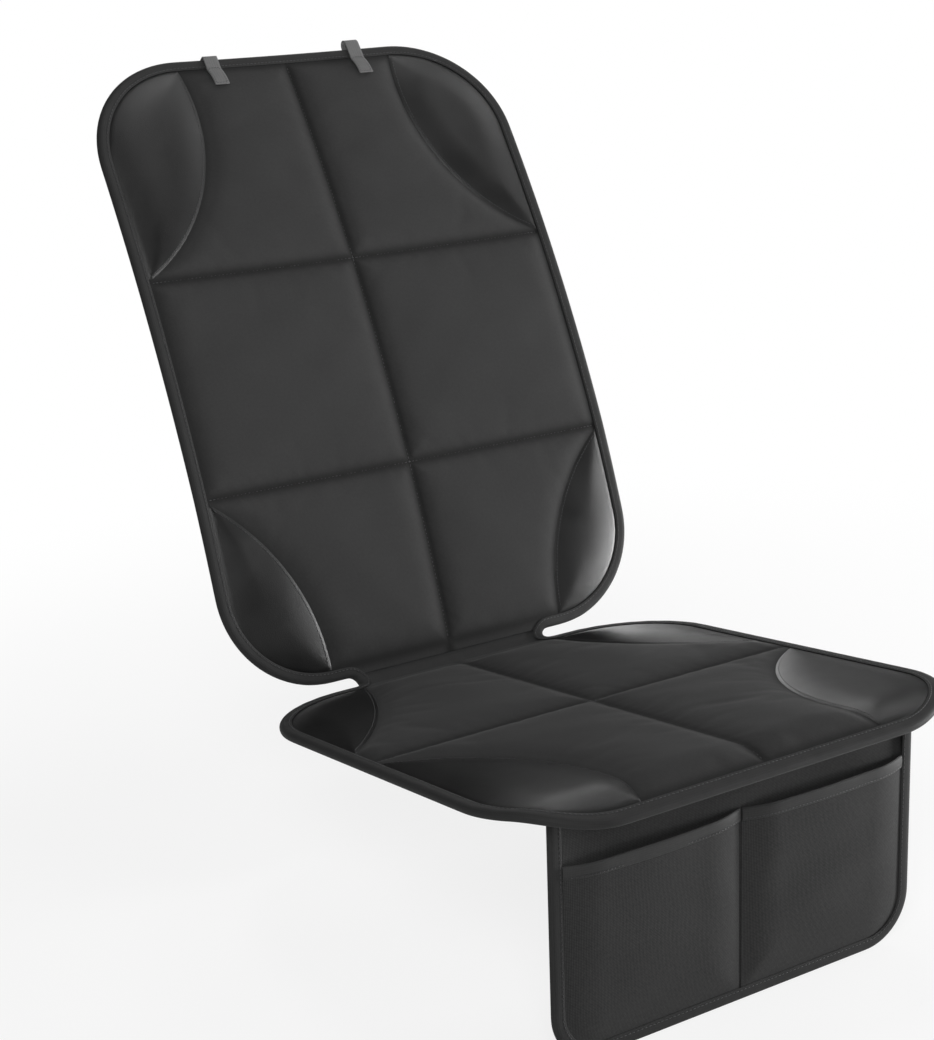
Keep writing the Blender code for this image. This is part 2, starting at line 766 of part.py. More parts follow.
def make_flap(group, materials):
    """Build the flap's panel and the tape round its sides and bottom."""
    panel = curve_slab("flap_panel", flap_outline(PAD_INSET, FLAP_HEIGHT), 0.0, FLAP_THICKNESS, group)
    finish(panel, materials["pocket_cloth"], hang)
    top = FLAP_HEIGHT - CLEARANCE
    low = -CLEARANCE
    high = FLAP_THICKNESS + POCKET_THICKNESS + 2 * CLEARANCE
    tape = curve_slab("flap_binding", flap_outline(0.0, top), low - TAPE_THICKNESS,
                      high + TAPE_THICKNESS, group)
    window = flap_outline(TAPE_WIDTH, top + BEYOND)
    channel = flap_outline(TAPE_THICKNESS, top + BEYOND)
    cut(tape, curve_slab("window", window, low - BEYOND, high + BEYOND, group))
    cut(tape, curve_slab("channel", channel, low, high, group))
    finish(tape, materials["tape"], hang)


def make_pockets(group, materials):
    """Build the two pockets and the folded hem along the top of each."""
    inner = POCKET_DIVIDER / 2
    corner = flap_outline(PAD_INSET, POCKET_TOP)[: CORNER_STEPS + 2]
    outline = [(inner, PAD_INSET)] + corner + [(inner, POCKET_TOP)]
    low = FLAP_THICKNESS + CLEARANCE
    high = low + POCKET_THICKNESS
    across = spread(POCKET_DIVIDER, FLAP_WIDTH / 2 - TAPE_WIDTH, POCKET_STEP)
    along = spread(TAPE_WIDTH, POCKET_TOP, POCKET_STEP * 2)
    across.append(inner + TAPE_WIDTH - PAD_INSET)
    pocket = curve_sheet("pocket_right", outline, group)
    bm = bmesh.new()
    bm.from_mesh(pocket.data)
    inset_top(bm, TAPE_WIDTH - PAD_INSET)
    slice_mesh(bm, across, along)
    bmesh.ops.triangulate(bm, faces=bm.faces)
    thicken(bm, low, high)
    bm.to_mesh(pocket.data)
    bm.free()
    finish(pocket, materials["pocket_cloth"], pocket_place)
    mirror_copy(pocket, "pocket_left", group)
    face = high + CLEARANCE
    crest = POCKET_TOP + CLEARANCE
    outer = FLAP_WIDTH / 2 - TAPE_WIDTH - CLEARANCE
    base = POCKET_TOP - HEM_WIDTH
    top = crest + HEM_THICKNESS
    band = [(inner, base), (outer, base), (outer, top), (inner, top)]
    hem = curve_slab("pocket_hem_right", band, low, face + HEM_THICKNESS, group)
    rebate = [(-BEYOND, 0.0), (HALF_WIDTH, 0.0), (HALF_WIDTH, crest), (-BEYOND, crest)]
    cut(hem, curve_slab("rebate", rebate, low - BEYOND, face, group))
    section(hem, across, ())
    finish(hem, materials["tape"], pocket_place)
    mirror_copy(hem, "pocket_hem_left", group)


def main():
    """Build the mat."""
    clear_scene()
    group = new_collection("car_seat_protector_mat")
    materials = make_materials()
    make_pad("back_pad", BACK, back_corners, group, materials)
    make_pad("seat_pad", SEAT, seat_corners, group, materials)
    make_waist(group, materials)
    make_lining(group, materials)
    make_binding(group, materials)
    make_patches(group, materials)
    make_strap("headrest_strap_left", -STRAP_SPACING / 2, LEFT_STRAP_RISE, group, materials)
    make_strap("headrest_strap_right", STRAP_SPACING / 2, RIGHT_STRAP_RISE, group, materials)
    make_flap(group, materials)
    make_pockets(group, materials)


main()
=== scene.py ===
"""A car seat protector mat, dressed over its CAD frame.

The mat's cloth sections, leatherette corner pads, tape, straps and pocket flap are modelled
flat, as they are cut and sewn, and are then draped along the side profile of a seat.
Flat coordinates are x across the mat, s along it from the crease and h above its underside.
"""

import logging
import math
from contextlib import contextmanager
from dataclasses import dataclass, field
from enum import Enum
from typing import Callable, Iterator, Sequence

import bpy
import numpy as np
from mathutils import Matrix, Vector


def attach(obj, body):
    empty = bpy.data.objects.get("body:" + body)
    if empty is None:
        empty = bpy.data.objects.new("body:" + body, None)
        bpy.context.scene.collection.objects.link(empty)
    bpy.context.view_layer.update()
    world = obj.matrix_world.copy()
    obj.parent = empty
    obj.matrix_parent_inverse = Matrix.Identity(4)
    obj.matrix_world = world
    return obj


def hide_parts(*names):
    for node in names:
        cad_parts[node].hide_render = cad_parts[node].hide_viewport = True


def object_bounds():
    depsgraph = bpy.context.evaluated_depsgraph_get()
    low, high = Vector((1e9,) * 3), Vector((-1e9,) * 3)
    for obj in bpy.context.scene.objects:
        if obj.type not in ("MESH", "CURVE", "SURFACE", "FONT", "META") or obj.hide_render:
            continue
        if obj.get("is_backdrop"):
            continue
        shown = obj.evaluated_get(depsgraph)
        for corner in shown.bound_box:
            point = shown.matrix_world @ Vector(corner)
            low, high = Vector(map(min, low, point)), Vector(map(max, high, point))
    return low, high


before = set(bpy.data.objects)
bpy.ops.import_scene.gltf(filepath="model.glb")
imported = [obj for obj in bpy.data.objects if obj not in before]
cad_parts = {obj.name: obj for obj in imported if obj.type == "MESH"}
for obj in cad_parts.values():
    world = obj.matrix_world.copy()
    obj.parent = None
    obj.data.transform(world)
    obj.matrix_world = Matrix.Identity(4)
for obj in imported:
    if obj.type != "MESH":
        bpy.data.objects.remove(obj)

LOG = logging.getLogger("seat_mat")
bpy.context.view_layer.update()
MM = 0.001

# Spacing and length of the finer stitches, on corner pads and hems.
FINE_PITCH = 0.0036
FINE_STITCH = 0.0026

Points = list[tuple[float, float]]
Place = Callable[[np.ndarray], np.ndarray]


class Side(Enum):
    """The mat's left and right, as seen from the front."""

    LEFT = -1.0
    RIGHT = 1.0


class Slot(Enum):
    """The record's material slots."""

    CLOTH = "cloth"
    LEATHERETTE = "leatherette"
    TAPE = "tape"
    WEBBING = "webbing"
    LINING = "lining"
    POCKET_CLOTH = "pocket_cloth"


@dataclass(frozen=True)
class MatSizes:
    """Sizes of the flat mat, in metres."""

    width: float = 0.480
    back_length: float = 0.675
    seat_length: float = 0.516
    back_top_radius: float = 0.115
    back_bottom_radius: float = 0.105
    seat_rear_radius: float = 0.105
    seat_front_radius: float = 0.095
    waist_width: float = 0.220
    notch_radius: float = 0.009
    clearance: float = 0.0003
    pad_edge: float = 0.0045
    lining_thickness: float = 0.0008
    lining_press: float = 0.0002
    tape_width: float = 0.0120
    tape_thickness: float = 0.0010

    @property
    def half(self) -> float:
        """Half the mat's width."""
        return self.width / 2

    @property
    def pad_inset(self) -> float:
        """How far the padding stays inside the tape's outer face."""
        return self.tape_thickness + self.clearance

    @property
    def border(self) -> float:
        """How far in from the edge the padding is held flat by the tape."""
        return self.tape_width + 2 * self.clearance

    @property
    def lining_low(self) -> float:
        """Height of the lining's underside."""
        return -self.clearance - self.lining_thickness

    @property
    def tape_low(self) -> float:
        """Height of the tape's outer face under the mat."""
        return self.lining_low + self.lining_press - self.clearance - self.tape_thickness

    @property
    def tape_high(self) -> float:
        """Height of the tape's outer face on top of the mat."""
        return self.pad_edge + self.clearance + self.tape_thickness


SIZES = MatSizes()


@dataclass(frozen=True)
class SeatProfile:
    """The side profile along which the flat mat is draped."""

    seat_tilt: float = math.radians(9.1)
    back_lean: float = math.radians(17.5)
    back_curl: float = math.radians(21.0)
    back_cup: float = 0.005
    cup_start: float = 0.209
    crease_radius: float = 0.018
    roll_length: float = 0.048
    roll_angle: float = math.radians(40.0)
    beyond: float = 0.050

    @property
    def turn(self) -> float:
        """The angle turned between the seat and the foot of the back."""
        return math.pi / 2 - self.back_lean + self.seat_tilt

    @property
    def crease_arc(self) -> float:
        """Length of the mat that lies in the crease."""
        return self.crease_radius * self.turn

    def runs(self, up: bool) -> list[tuple[float, float]]:
        """Return the arcs of one half of the profile.

        Args:
            up: True for the back, False for the seat.

        Returns:
            The length and curvature of each arc, starting at the crease.
        """
        half = self.crease_arc / 2
        crease = (half, self.turn / self.crease_arc)
        if up:
            length = SIZES.back_length - half
            return [crease, (length, -self.back_curl / length), (self.beyond, 0.0)]
        flat = SIZES.seat_length - self.roll_length - half
        return [crease, (flat, 0.0), (self.roll_length, -self.roll_angle / self.roll_length),
                (self.beyond, 0.0)]

    def spine(self, s: np.ndarray) -> tuple[np.ndarray, np.ndarray, np.ndarray]:
        """Follow the profile.

        Args:
            s: Distances along the mat from the crease.

        Returns:
            The y, z and heading of the padding's underside at each distance.
        """
        y, z = np.zeros_like(s), np.zeros_like(s)
        heading = np.full_like(s, self.turn / 2 - self.seat_tilt)
        for up, sign in ((True, 1.0), (False, -1.0)):
            mask = s >= 0 if up else s < 0
            reach, head = np.abs(s[mask]), heading[mask]
            across, rise, done = np.zeros_like(reach), np.zeros_like(reach), 0.0
            for length, curvature in self.runs(up):
                step = sign * np.clip(reach - done, 0.0, length)
                if abs(curvature) < 1e-9:
                    across += step * np.cos(head)
                    rise += step * np.sin(head)
                else:
                    turned = head + curvature * step
                    across += (np.sin(turned) - np.sin(head)) / curvature
                    rise -= (np.cos(turned) - np.cos(head)) / curvature
                    head = turned
                done += length
            y[mask], z[mask], heading[mask] = across, rise, head
        return y, z, heading

    def bend(self, flat: np.ndarray) -> np.ndarray:
        """Place flat points on the draped mat.

        Args:
            flat: Points of the flat mat, one row each.

        Returns:
            The points in the profile's own frame.
        """
        x, s, h = flat.T
        y, z, heading = self.spine(s)
        cup = self.back_cup * (x / SIZES.half) ** 2 * np.clip(s / self.cup_start, 0.0, 1.0)
        raised = h + cup
        return np.stack((x, y - raised * np.sin(heading), z + raised * np.cos(heading)), axis=1)

    def drape(self, flat: np.ndarray) -> np.ndarray:
        """Place flat points on the draped mat, in the frame of the CAD model."""
        origin = self.bend(np.array([[0.0, -SIZES.seat_length / 2, SIZES.lining_low]]))
        return self.bend(flat) - origin


PROFILE = SeatProfile()


# Workbench

def deselect() -> None:
    """Leave nothing selected."""
    if bpy.context.mode != "OBJECT":
        bpy.ops.object.mode_set(mode="OBJECT")
    bpy.ops.object.select_all(action="DESELECT")


def new_object(name: str, data: bpy.types.ID) -> bpy.types.Object:
    """Put a new object into the scene.

    Args:
        name: The object's name.
        data: Its mesh, curve, lamp or camera.

    Returns:
        The object.
    """
    made = bpy.data.objects.new(name, data)
    bpy.context.scene.collection.objects.link(made)
    return made


def take(piece: bpy.types.Object) -> None:
    """Make one piece the only one selected, and active.

    Args:
        piece: The piece to work on.
    """
    deselect()
    piece.select_set(True)
    bpy.context.view_layer.objects.active = piece


@contextmanager
def editing(piece: bpy.types.Object) -> Iterator[None]:
    """Work on one piece in edit mode with all of it selected.

    Args:
        piece: The piece to work on.

    Yields:
        Nothing. Object mode comes back afterwards.
    """
    take(piece)
    bpy.ops.object.mode_set(mode="EDIT")
    bpy.ops.mesh.select_all(action="SELECT")
    yield
    bpy.ops.object.mode_set(mode="OBJECT")


def coords(piece: bpy.types.Object) -> np.ndarray:
    """Read a piece's points.

    Args:
        piece: The piece to read.

    Returns:
        The points, one row each.
    """
    flat = np.empty(len(piece.data.vertices) * 3)
    piece.data.vertices.foreach_get("co", flat)
    return flat.reshape(-1, 3)


def set_coords(piece: bpy.types.Object, points: np.ndarray) -> None:
    """Move a piece's points."""
    piece.data.vertices.foreach_set("co", points.astype(np.float32).ravel())
    piece.data.update()


def finish_modifier(piece: bpy.types.Object, kind: str, **settings: object) -> None:
    """Add a modifier with its settings and apply it.

    Args:
        piece: The piece that is changed.
        kind: The modifier's type.
        settings: The modifier's own settings.
    """
    take(piece)
    bpy.ops.object.modifier_add(type=kind)
    modifier = piece.modifiers[-1]
    for name, value in settings.items():
        setattr(modifier, name, value)
    bpy.ops.object.modifier_apply(modifier=modifier.name)


def face_outward(piece: bpy.types.Object) -> None:
    """Turn the faces of a closed piece outward.

    Args:
        piece: The closed piece, or several closed shells in one.
    """
    with editing(piece):
        bpy.ops.mesh.normals_make_consistent(inside=False)
    mesh = piece.data
    mesh.calc_loop_triangles()
    points = coords(piece)
    corners = np.empty(len(mesh.loop_triangles) * 3, dtype=np.int32)
    mesh.loop_triangles.foreach_get("vertices", corners)
    a, b, c = (points[corners.reshape(-1, 3)[:, i]] for i in range(3))
    if np.einsum("ij,ij->i", a, np.cross(b, c)).sum() < 0.0:
        with editing(piece):
            bpy.ops.mesh.flip_normals()


def outline_sheet(name: str, outline: Points) -> bpy.types.Object:
    """Cut one flat face along a closed outline.

    Args:
        name: The new piece's name.
        outline: The outline's points, in order.

    Returns:
        The face as a mesh object, facing up.
    """
    curve = bpy.data.curves.new(name, "CURVE")
    curve.dimensions = "2D"
    curve.fill_mode = "BOTH"
    spline = curve.splines.new("POLY")
    spline.points.add(len(outline) - 1)
    for point, (x, s) in zip(spline.points, outline):
        point.co = (x, s, 0.0, 1.0)
    spline.use_cyclic_u = True
    take(new_object(name, curve))
    bpy.ops.object.convert(target="MESH")
    piece = bpy.context.view_layer.objects.active
    with editing(piece):
        bpy.ops.mesh.dissolve_limited(angle_limit=math.radians(0.1))
    if piece.data.polygons[0].normal.z < 0.0:
        with editing(piece):
            bpy.ops.mesh.flip_normals()
    return piece


def even_levels(marks: Sequence[float], step: float) -> list[float]:
    """Divide the runs between marks evenly.

    Args:
        marks: Levels in rising order, which are all kept.
        step: The longest run that is left.

    Returns:
        All levels in rising order, from the first mark to the last.
    """
    levels: list[float] = []
    for low, high in zip(marks, marks[1:]):
        count = max(1, math.ceil((high - low) / step - 1e-6))
        levels += [low + (high - low) * i / count for i in range(count)]
    return levels + [marks[-1]]


def slice_sheet(piece: bpy.types.Object, across: Sequence[float], along: Sequence[float]) -> None:
    """Cut a flat sheet into a grid.

    Args:
        piece: The sheet.
        across: The x of each lengthwise cut.
        along: The s of each crosswise cut.
    """
    with editing(piece):
        for level in across:
            bpy.ops.mesh.select_all(action="SELECT")
            bpy.ops.mesh.bisect(plane_co=(level, 0.0, 0.0), plane_no=(1.0, 0.0, 0.0))
        for level in along:
            bpy.ops.mesh.select_all(action="SELECT")
            bpy.ops.mesh.bisect(plane_co=(0.0, level, 0.0), plane_no=(0.0, 1.0, 0.0))


def drop_slivers(piece: bpy.types.Object, threshold: float = 0.00002) -> None:
    """Merge edges shorter than the threshold, with the slivers of faces between them."""
    with editing(piece):
        bpy.ops.mesh.dissolve_degenerate(threshold=threshold)


def keep_uv(piece: bpy.types.Object, table: np.ndarray) -> None:
    """Keep a UV map that the finishes read.

    Args:
        piece: The piece that gets the map.
        table: The UV of each of its points, in metres.
    """
    layer = piece.data.uv_layers.get("flat") or piece.data.uv_layers.new(name="flat")
    corner = np.empty(len(piece.data.loops), dtype=np.int32)
    piece.data.loops.foreach_get("vertex_index", corner)
    layer.data.foreach_set("uv", table[corner].astype(np.float32).ravel())


def keep_attribute(piece: bpy.types.Object, name: str, values: np.ndarray) -> None:
    """Keep one number per point, 0 to 1, for the piece's material to read."""
    layer = piece.data.attributes.new(name=name, type="FLOAT", domain="POINT")
    layer.data.foreach_set("value", np.clip(values, 0.0, 1.0).astype(np.float32))


def close_under(piece: bpy.types.Object, low: float) -> None:
    """Give a formed sheet straight sides and a flat underside.

    Args:
        piece: The sheet, formed on its top side.
        low: Height of the underside.
    """
    with editing(piece):
        bpy.ops.mesh.extrude_region_move()
    picked = np.empty(len(piece.data.vertices), dtype=bool)
    piece.data.vertices.foreach_get("select", picked)
    points = coords(piece)
    points[picked, 2] = low
    set_coords(piece, points)
    face_outward(piece)


def form_sheet(piece: bpy.types.Object, top: np.ndarray | float, low: float, place: Place) -> None:
    """Form a flat sheet, close it underneath and put it in its place.

    Args:
        piece: The flat sheet.
        top: Height of its top, at each point or all over.
        low: Height of its underside.
        place: Turns its flat points into their places on the draped mat.
    """
    points = coords(piece)
    points[:, 2] = top
    set_coords(piece, points)
    close_under(piece, low)
    keep_uv(piece, coords(piece)[:, :2])
    set_coords(piece, place(coords(piece)))


def reaches(path: Sequence[Sequence[float]] | np.ndarray) -> np.ndarray:
    """Return how far along a path each of its points lies."""
    return np.concatenate(([0.0], np.cumsum(np.hypot(*np.diff(np.array(path), axis=0).T))))


def ribbon(name: str, rows: int, columns: int, place: Callable[[int, int], Sequence[float]],
           measure: Callable[[int, int], Sequence[float]]) -> bpy.types.Object:
    """Form a grid into a ribbon.

    Args:
        name: The new piece's name.
        rows: Number of points along the ribbon.
        columns: Number of points across it.
        place: Gives the point at a row and column.
        measure: Gives the UV, in metres, at a row and column.

    Returns:
        The ribbon as an open mesh object.
    """
    deselect()
    bpy.ops.mesh.primitive_grid_add(x_subdivisions=columns - 1, y_subdivisions=rows - 1, size=2.0)
    piece = bpy.context.object
    piece.name = name
    piece.data.name = name
    grid = coords(piece)
    column = np.rint((grid[:, 0] + 1) / 2 * (columns - 1)).astype(int)
    row = np.rint((grid[:, 1] + 1) / 2 * (rows - 1)).astype(int)
    set_coords(piece, np.array([place(int(i), int(j)) for i, j in zip(row, column)]))
    for layer in list(piece.data.uv_layers):
        piece.data.uv_layers.remove(layer)
    keep_uv(piece, np.array([measure(int(i), int(j)) for i, j in zip(row, column)]))
    return piece


def mirrored_copy(piece: bpy.types.Object, name: str) -> bpy.types.Object:
    """Make the same piece for the other side, with a mesh of its own.

    Args:
        piece: The piece on the right.
        name: The new piece's name.

    Returns:
        The piece on the left.
    """
    twin = new_object(name, piece.data.copy())
    twin.data.name = name
    set_coords(twin, coords(twin) * np.array([-1.0, 1.0, 1.0]))
    with editing(twin):
        bpy.ops.mesh.flip_normals()
    return twin


def dress(piece: bpy.types.Object, material: bpy.types.Material, slot: Slot,
          *nodes: str, smooth: float = 50.0) -> bpy.types.Object:
    """Give a finished piece its material, put it on the root body and hide the CAD nodes that it
    replaces.

    Args:
        piece: The piece, in place.
        material: Its material.
        slot: The record's slot that the material belongs to; not used.
        nodes: The CAD nodes that the piece replaces.
        smooth: Edges flatter than this angle, in degrees, shade smooth.

    Returns:
        The piece.
    """
    piece.data.materials.clear()
    piece.data.materials.append(material)
    take(piece)
    bpy.ops.object.shade_smooth_by_angle(angle=math.radians(smooth))
    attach(piece, "root")
    if nodes:
        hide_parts(*nodes)
    return piece


# Finishes

def srgb(code: str) -> tuple[float, float, float, float]:
    """Turn a hex colour into a linear one.

    Args:
        code: The sRGB colour, such as #2e2e2e.

    Returns:
        Linear red, green and blue, and an alpha of 1.
    """
    parts = [int(code[i:i + 2], 16) / 255 for i in (1, 3, 5)]
    linear = [p / 12.92 if p <= 0.04045 else ((p + 0.055) / 1.055) ** 2.4 for p in parts]
    return (linear[0], linear[1], linear[2], 1.0)


def add_node(tree: bpy.types.NodeTree, kind: str, inputs: dict[object, object] | None = None,
             **settings: object) -> bpy.types.Node:
    """Add a node with its settings and links.

    Args:
        tree: The material's node tree.
        kind: The node's type.
        inputs: Values, or other nodes' output sockets, by input name or number.
        settings: The node's own settings.

    Returns:
        The node.
    """
    node = tree.nodes.new(kind)
    for name, value in settings.items():
        setattr(node, name, value)
    for name, value in (inputs or {}).items():
        if isinstance(value, bpy.types.NodeSocket):
            tree.links.new(value, node.inputs[name])
        else:
            node.inputs[name].default_value = value
    return node


def fresh_material(name: str) -> tuple[bpy.types.Material, bpy.types.NodeTree, bpy.types.Node]:
    """Start a material.

    Args:
        name: The material's name.

    Returns:
        The material, its node tree and its Principled shader.
    """
    material = bpy.data.materials.new(name)
    material.use_nodes = True
    tree = material.node_tree
    return material, tree, tree.nodes["Principled BSDF"]


def ramp(tree: bpy.types.NodeTree, factor: bpy.types.NodeSocket,
         stops: Sequence[tuple[float, str]]) -> bpy.types.NodeSocket:
    """Mix a colour from a factor.

    Args:
        tree: The material's node tree.
        factor: The socket that gives the factor.
        stops: Places from 0 to 1, each with its hex colour.

    Returns:
        The socket that gives the colour.
    """
    node = add_node(tree, "ShaderNodeValToRGB", {"Fac": factor})
    ends = node.color_ramp.elements
    while len(ends) < len(stops):
        ends.new(0.5)
    for end, (place, code) in zip(ends, stops):
        end.position = place
        end.color = srgb(code)
    return node.outputs["Color"]


@dataclass(frozen=True)
class WovenCloth:
    """Plain-weave polyester: fine square over-and-under threads that break up the light.

    The real threads are about 0.5 mm apart, finer than a pixel of the portrait, so the
    weave is drawn at thread_mm.
    """

    name: str
    dark: str
    light: str
    thread_mm: float = 1.1
    relief_mm: float = 0.10
    roughness: float = 0.88
    sheen: float = 0.06
    mottle: float = 0.5
    # Painted shade: the colour that the cloth is darkened towards beside its seams, edges and pads, and
    # how far.
    painted_shade: str = "#0a0a0a"
    painted_shade_depth: float = 0.70

    def build(self) -> bpy.types.Material:
        """Build the cloth's material.

        Returns:
            The material.
        """
        material, tree, shader = fresh_material(self.name)
        uv = add_node(tree, "ShaderNodeUVMap", uv_map="flat").outputs["UV"]
        split = add_node(tree, "ShaderNodeSeparateXYZ", {"Vector": uv})
        pitch = math.pi / (self.thread_mm * MM)
        waves = []
        for axis in ("X", "Y"):
            turned = add_node(tree, "ShaderNodeMath", {0: split.outputs[axis], 1: pitch},
                              operation="MULTIPLY").outputs[0]
            waves.append(add_node(tree, "ShaderNodeMath", {0: turned}, operation="SINE").outputs[0])
        over = add_node(tree, "ShaderNodeMath", {0: waves[0], 1: waves[1]},
                        operation="MULTIPLY").outputs[0]
        weave = add_node(tree, "ShaderNodeMath", {0: over}, operation="ABSOLUTE").outputs[0]
        slub = add_node(tree, "ShaderNodeTexNoise",
                        {"Vector": uv, "Scale": 320.0, "Detail": 3.0, "Roughness": 0.6})
        cloud = add_node(tree, "ShaderNodeTexNoise",
                         {"Vector": uv, "Scale": 22.0, "Detail": 4.0, "Roughness": 0.55})
        grain = add_node(tree, "ShaderNodeMix", {0: 0.45, 2: weave, 3: slub.outputs["Fac"]}).outputs[0]
        tone = add_node(tree, "ShaderNodeMix", {0: self.mottle * 0.5, 2: grain,
                                                3: cloud.outputs["Fac"]}).outputs[0]
        colour = ramp(tree, tone, ((0.2, self.dark), (0.75, self.light)))
        # Painted shade: a point attribute darkens the cloth beside its seams, edges and pads.
        painted_shade = add_node(tree, "ShaderNodeAttribute", attribute_name="painted_shade").outputs["Fac"]
        depth = add_node(tree, "ShaderNodeMath", {0: painted_shade, 1: self.painted_shade_depth},
                         operation="MULTIPLY").outputs[0]
        colour = add_node(tree, "ShaderNodeMix", {0: depth, 6: colour, 7: srgb(self.painted_shade)},
                          data_type="RGBA").outputs[2]
        height = add_node(tree, "ShaderNodeMix", {0: 0.5, 2: weave, 3: slub.outputs["Fac"]}).outputs[0]
        bump = add_node(tree, "ShaderNodeBump", {"Strength": 0.8, "Distance": self.relief_mm * MM,
                                                 "Height": height})
        tree.links.new(colour, shader.inputs["Base Color"])
        tree.links.new(bump.outputs["Normal"], shader.inputs["Normal"])
        shader.inputs["Roughness"].default_value = self.roughness
        shader.inputs["Specular IOR Level"].default_value = 0.16
        shader.inputs["Sheen Weight"].default_value = self.sheen
        shader.inputs["Sheen Roughness"].default_value = 0.45
        return material


@dataclass(frozen=True)
class Leatherette:
    """Embossed PVC leatherette: pebbled grain with a satin sheen that wear polishes in places."""

    name: str = "embossed_leatherette"
    dark: str = "#0b0b0b"
    light: str = "#151515"
    grain_mm: float = 1.5
    relief_mm: float = 0.10
    polished: float = 0.33
    dull: float = 0.44

    def build(self) -> bpy.types.Material:
        """Build the leatherette's material.

        Returns:
            The material.
        """
        material, tree, shader = fresh_material(self.name)
        place = add_node(tree, "ShaderNodeTexCoord").outputs["Object"]
        cells = add_node(tree, "ShaderNodeTexVoronoi",
                         {"Vector": place, "Scale": 1.0 / (self.grain_mm * MM)},
                         feature="DISTANCE_TO_EDGE")
        pebble = add_node(tree, "ShaderNodeMapRange",
                          {"Value": cells.outputs["Distance"], "From Min": 0.0, "From Max": 0.16})
        fine = add_node(tree, "ShaderNodeTexNoise", {"Vector": place, "Scale": 1400.0, "Detail": 2.0})
        polish = add_node(tree, "ShaderNodeTexNoise", {"Vector": place, "Scale": 14.0, "Detail": 4.0})
        height = add_node(tree, "ShaderNodeMix", {0: 0.25, 2: pebble.outputs[0],
                                                  3: fine.outputs["Fac"]}).outputs[0]
        bump = add_node(tree, "ShaderNodeBump", {"Strength": 0.55, "Distance": self.relief_mm * MM,
                                                 "Height": height})
        gloss = add_node(tree, "ShaderNodeMapRange",
                         {"Value": polish.outputs["Fac"], "From Min": 0.3, "From Max": 0.7,
                          "To Min": self.polished, "To Max": self.dull})
        colour = ramp(tree, polish.outputs["Fac"], ((0.3, self.dark), (0.7, self.light)))
        tree.links.new(colour, shader.inputs["Base Color"])
        tree.links.new(gloss.outputs[0], shader.inputs["Roughness"])
        tree.links.new(bump.outputs["Normal"], shader.inputs["Normal"])
        shader.inputs["Specular IOR Level"].default_value = 0.5
        return material


@dataclass(frozen=True)
class RibbedTape:
    """Woven narrow fabric: close cross ribs and a firm selvedge, a little glossier than cloth."""

    name: str
    dark: str
    light: str
    rib_mm: float = 1.2
    relief_mm: float = 0.12
    roughness: float = 0.72
    sheen: float = 0.2

    def build(self) -> bpy.types.Material:
        """Build the tape's material.

        Returns:
            The material.
        """
        material, tree, shader = fresh_material(self.name)
        uv = add_node(tree, "ShaderNodeUVMap", uv_map="flat").outputs["UV"]
        split = add_node(tree, "ShaderNodeSeparateXYZ", {"Vector": uv})
        waves = []
        for axis, pitch in (("X", self.rib_mm), ("Y", self.rib_mm * 1.6)):
            turned = add_node(tree, "ShaderNodeMath",
                              {0: split.outputs[axis], 1: math.pi / (pitch * MM)},
                              operation="MULTIPLY").outputs[0]
            wave = add_node(tree, "ShaderNodeMath", {0: turned}, operation="SINE").outputs[0]
            waves.append(add_node(tree, "ShaderNodeMath", {0: wave}, operation="ABSOLUTE").outputs[0])
        ribs = add_node(tree, "ShaderNodeMix", {0: 0.35, 2: waves[0], 3: waves[1]}).outputs[0]
        fuzz = add_node(tree, "ShaderNodeTexNoise", {"Vector": uv, "Scale": 500.0, "Detail": 3.0})
        cloud = add_node(tree, "ShaderNodeTexNoise", {"Vector": uv, "Scale": 30.0, "Detail": 3.0})
        height = add_node(tree, "ShaderNodeMix", {0: 0.35, 2: ribs, 3: fuzz.outputs["Fac"]}).outputs[0]
        tone = add_node(tree, "ShaderNodeMix", {0: 0.4, 2: height, 3: cloud.outputs["Fac"]}).outputs[0]
        bump = add_node(tree, "ShaderNodeBump", {"Strength": 0.8, "Distance": self.relief_mm * MM,
                                                 "Height": height})
        colour = ramp(tree, tone, ((0.2, self.dark), (0.75, self.light)))
        tree.links.new(colour, shader.inputs["Base Color"])
        tree.links.new(bump.outputs["Normal"], shader.inputs["Normal"])
        shader.inputs["Roughness"].default_value = self.roughness
        shader.inputs["Specular IOR Level"].default_value = 0.3
        shader.inputs["Sheen Weight"].default_value = self.sheen
        shader.inputs["Sheen Roughness"].default_value = 0.4
        return material


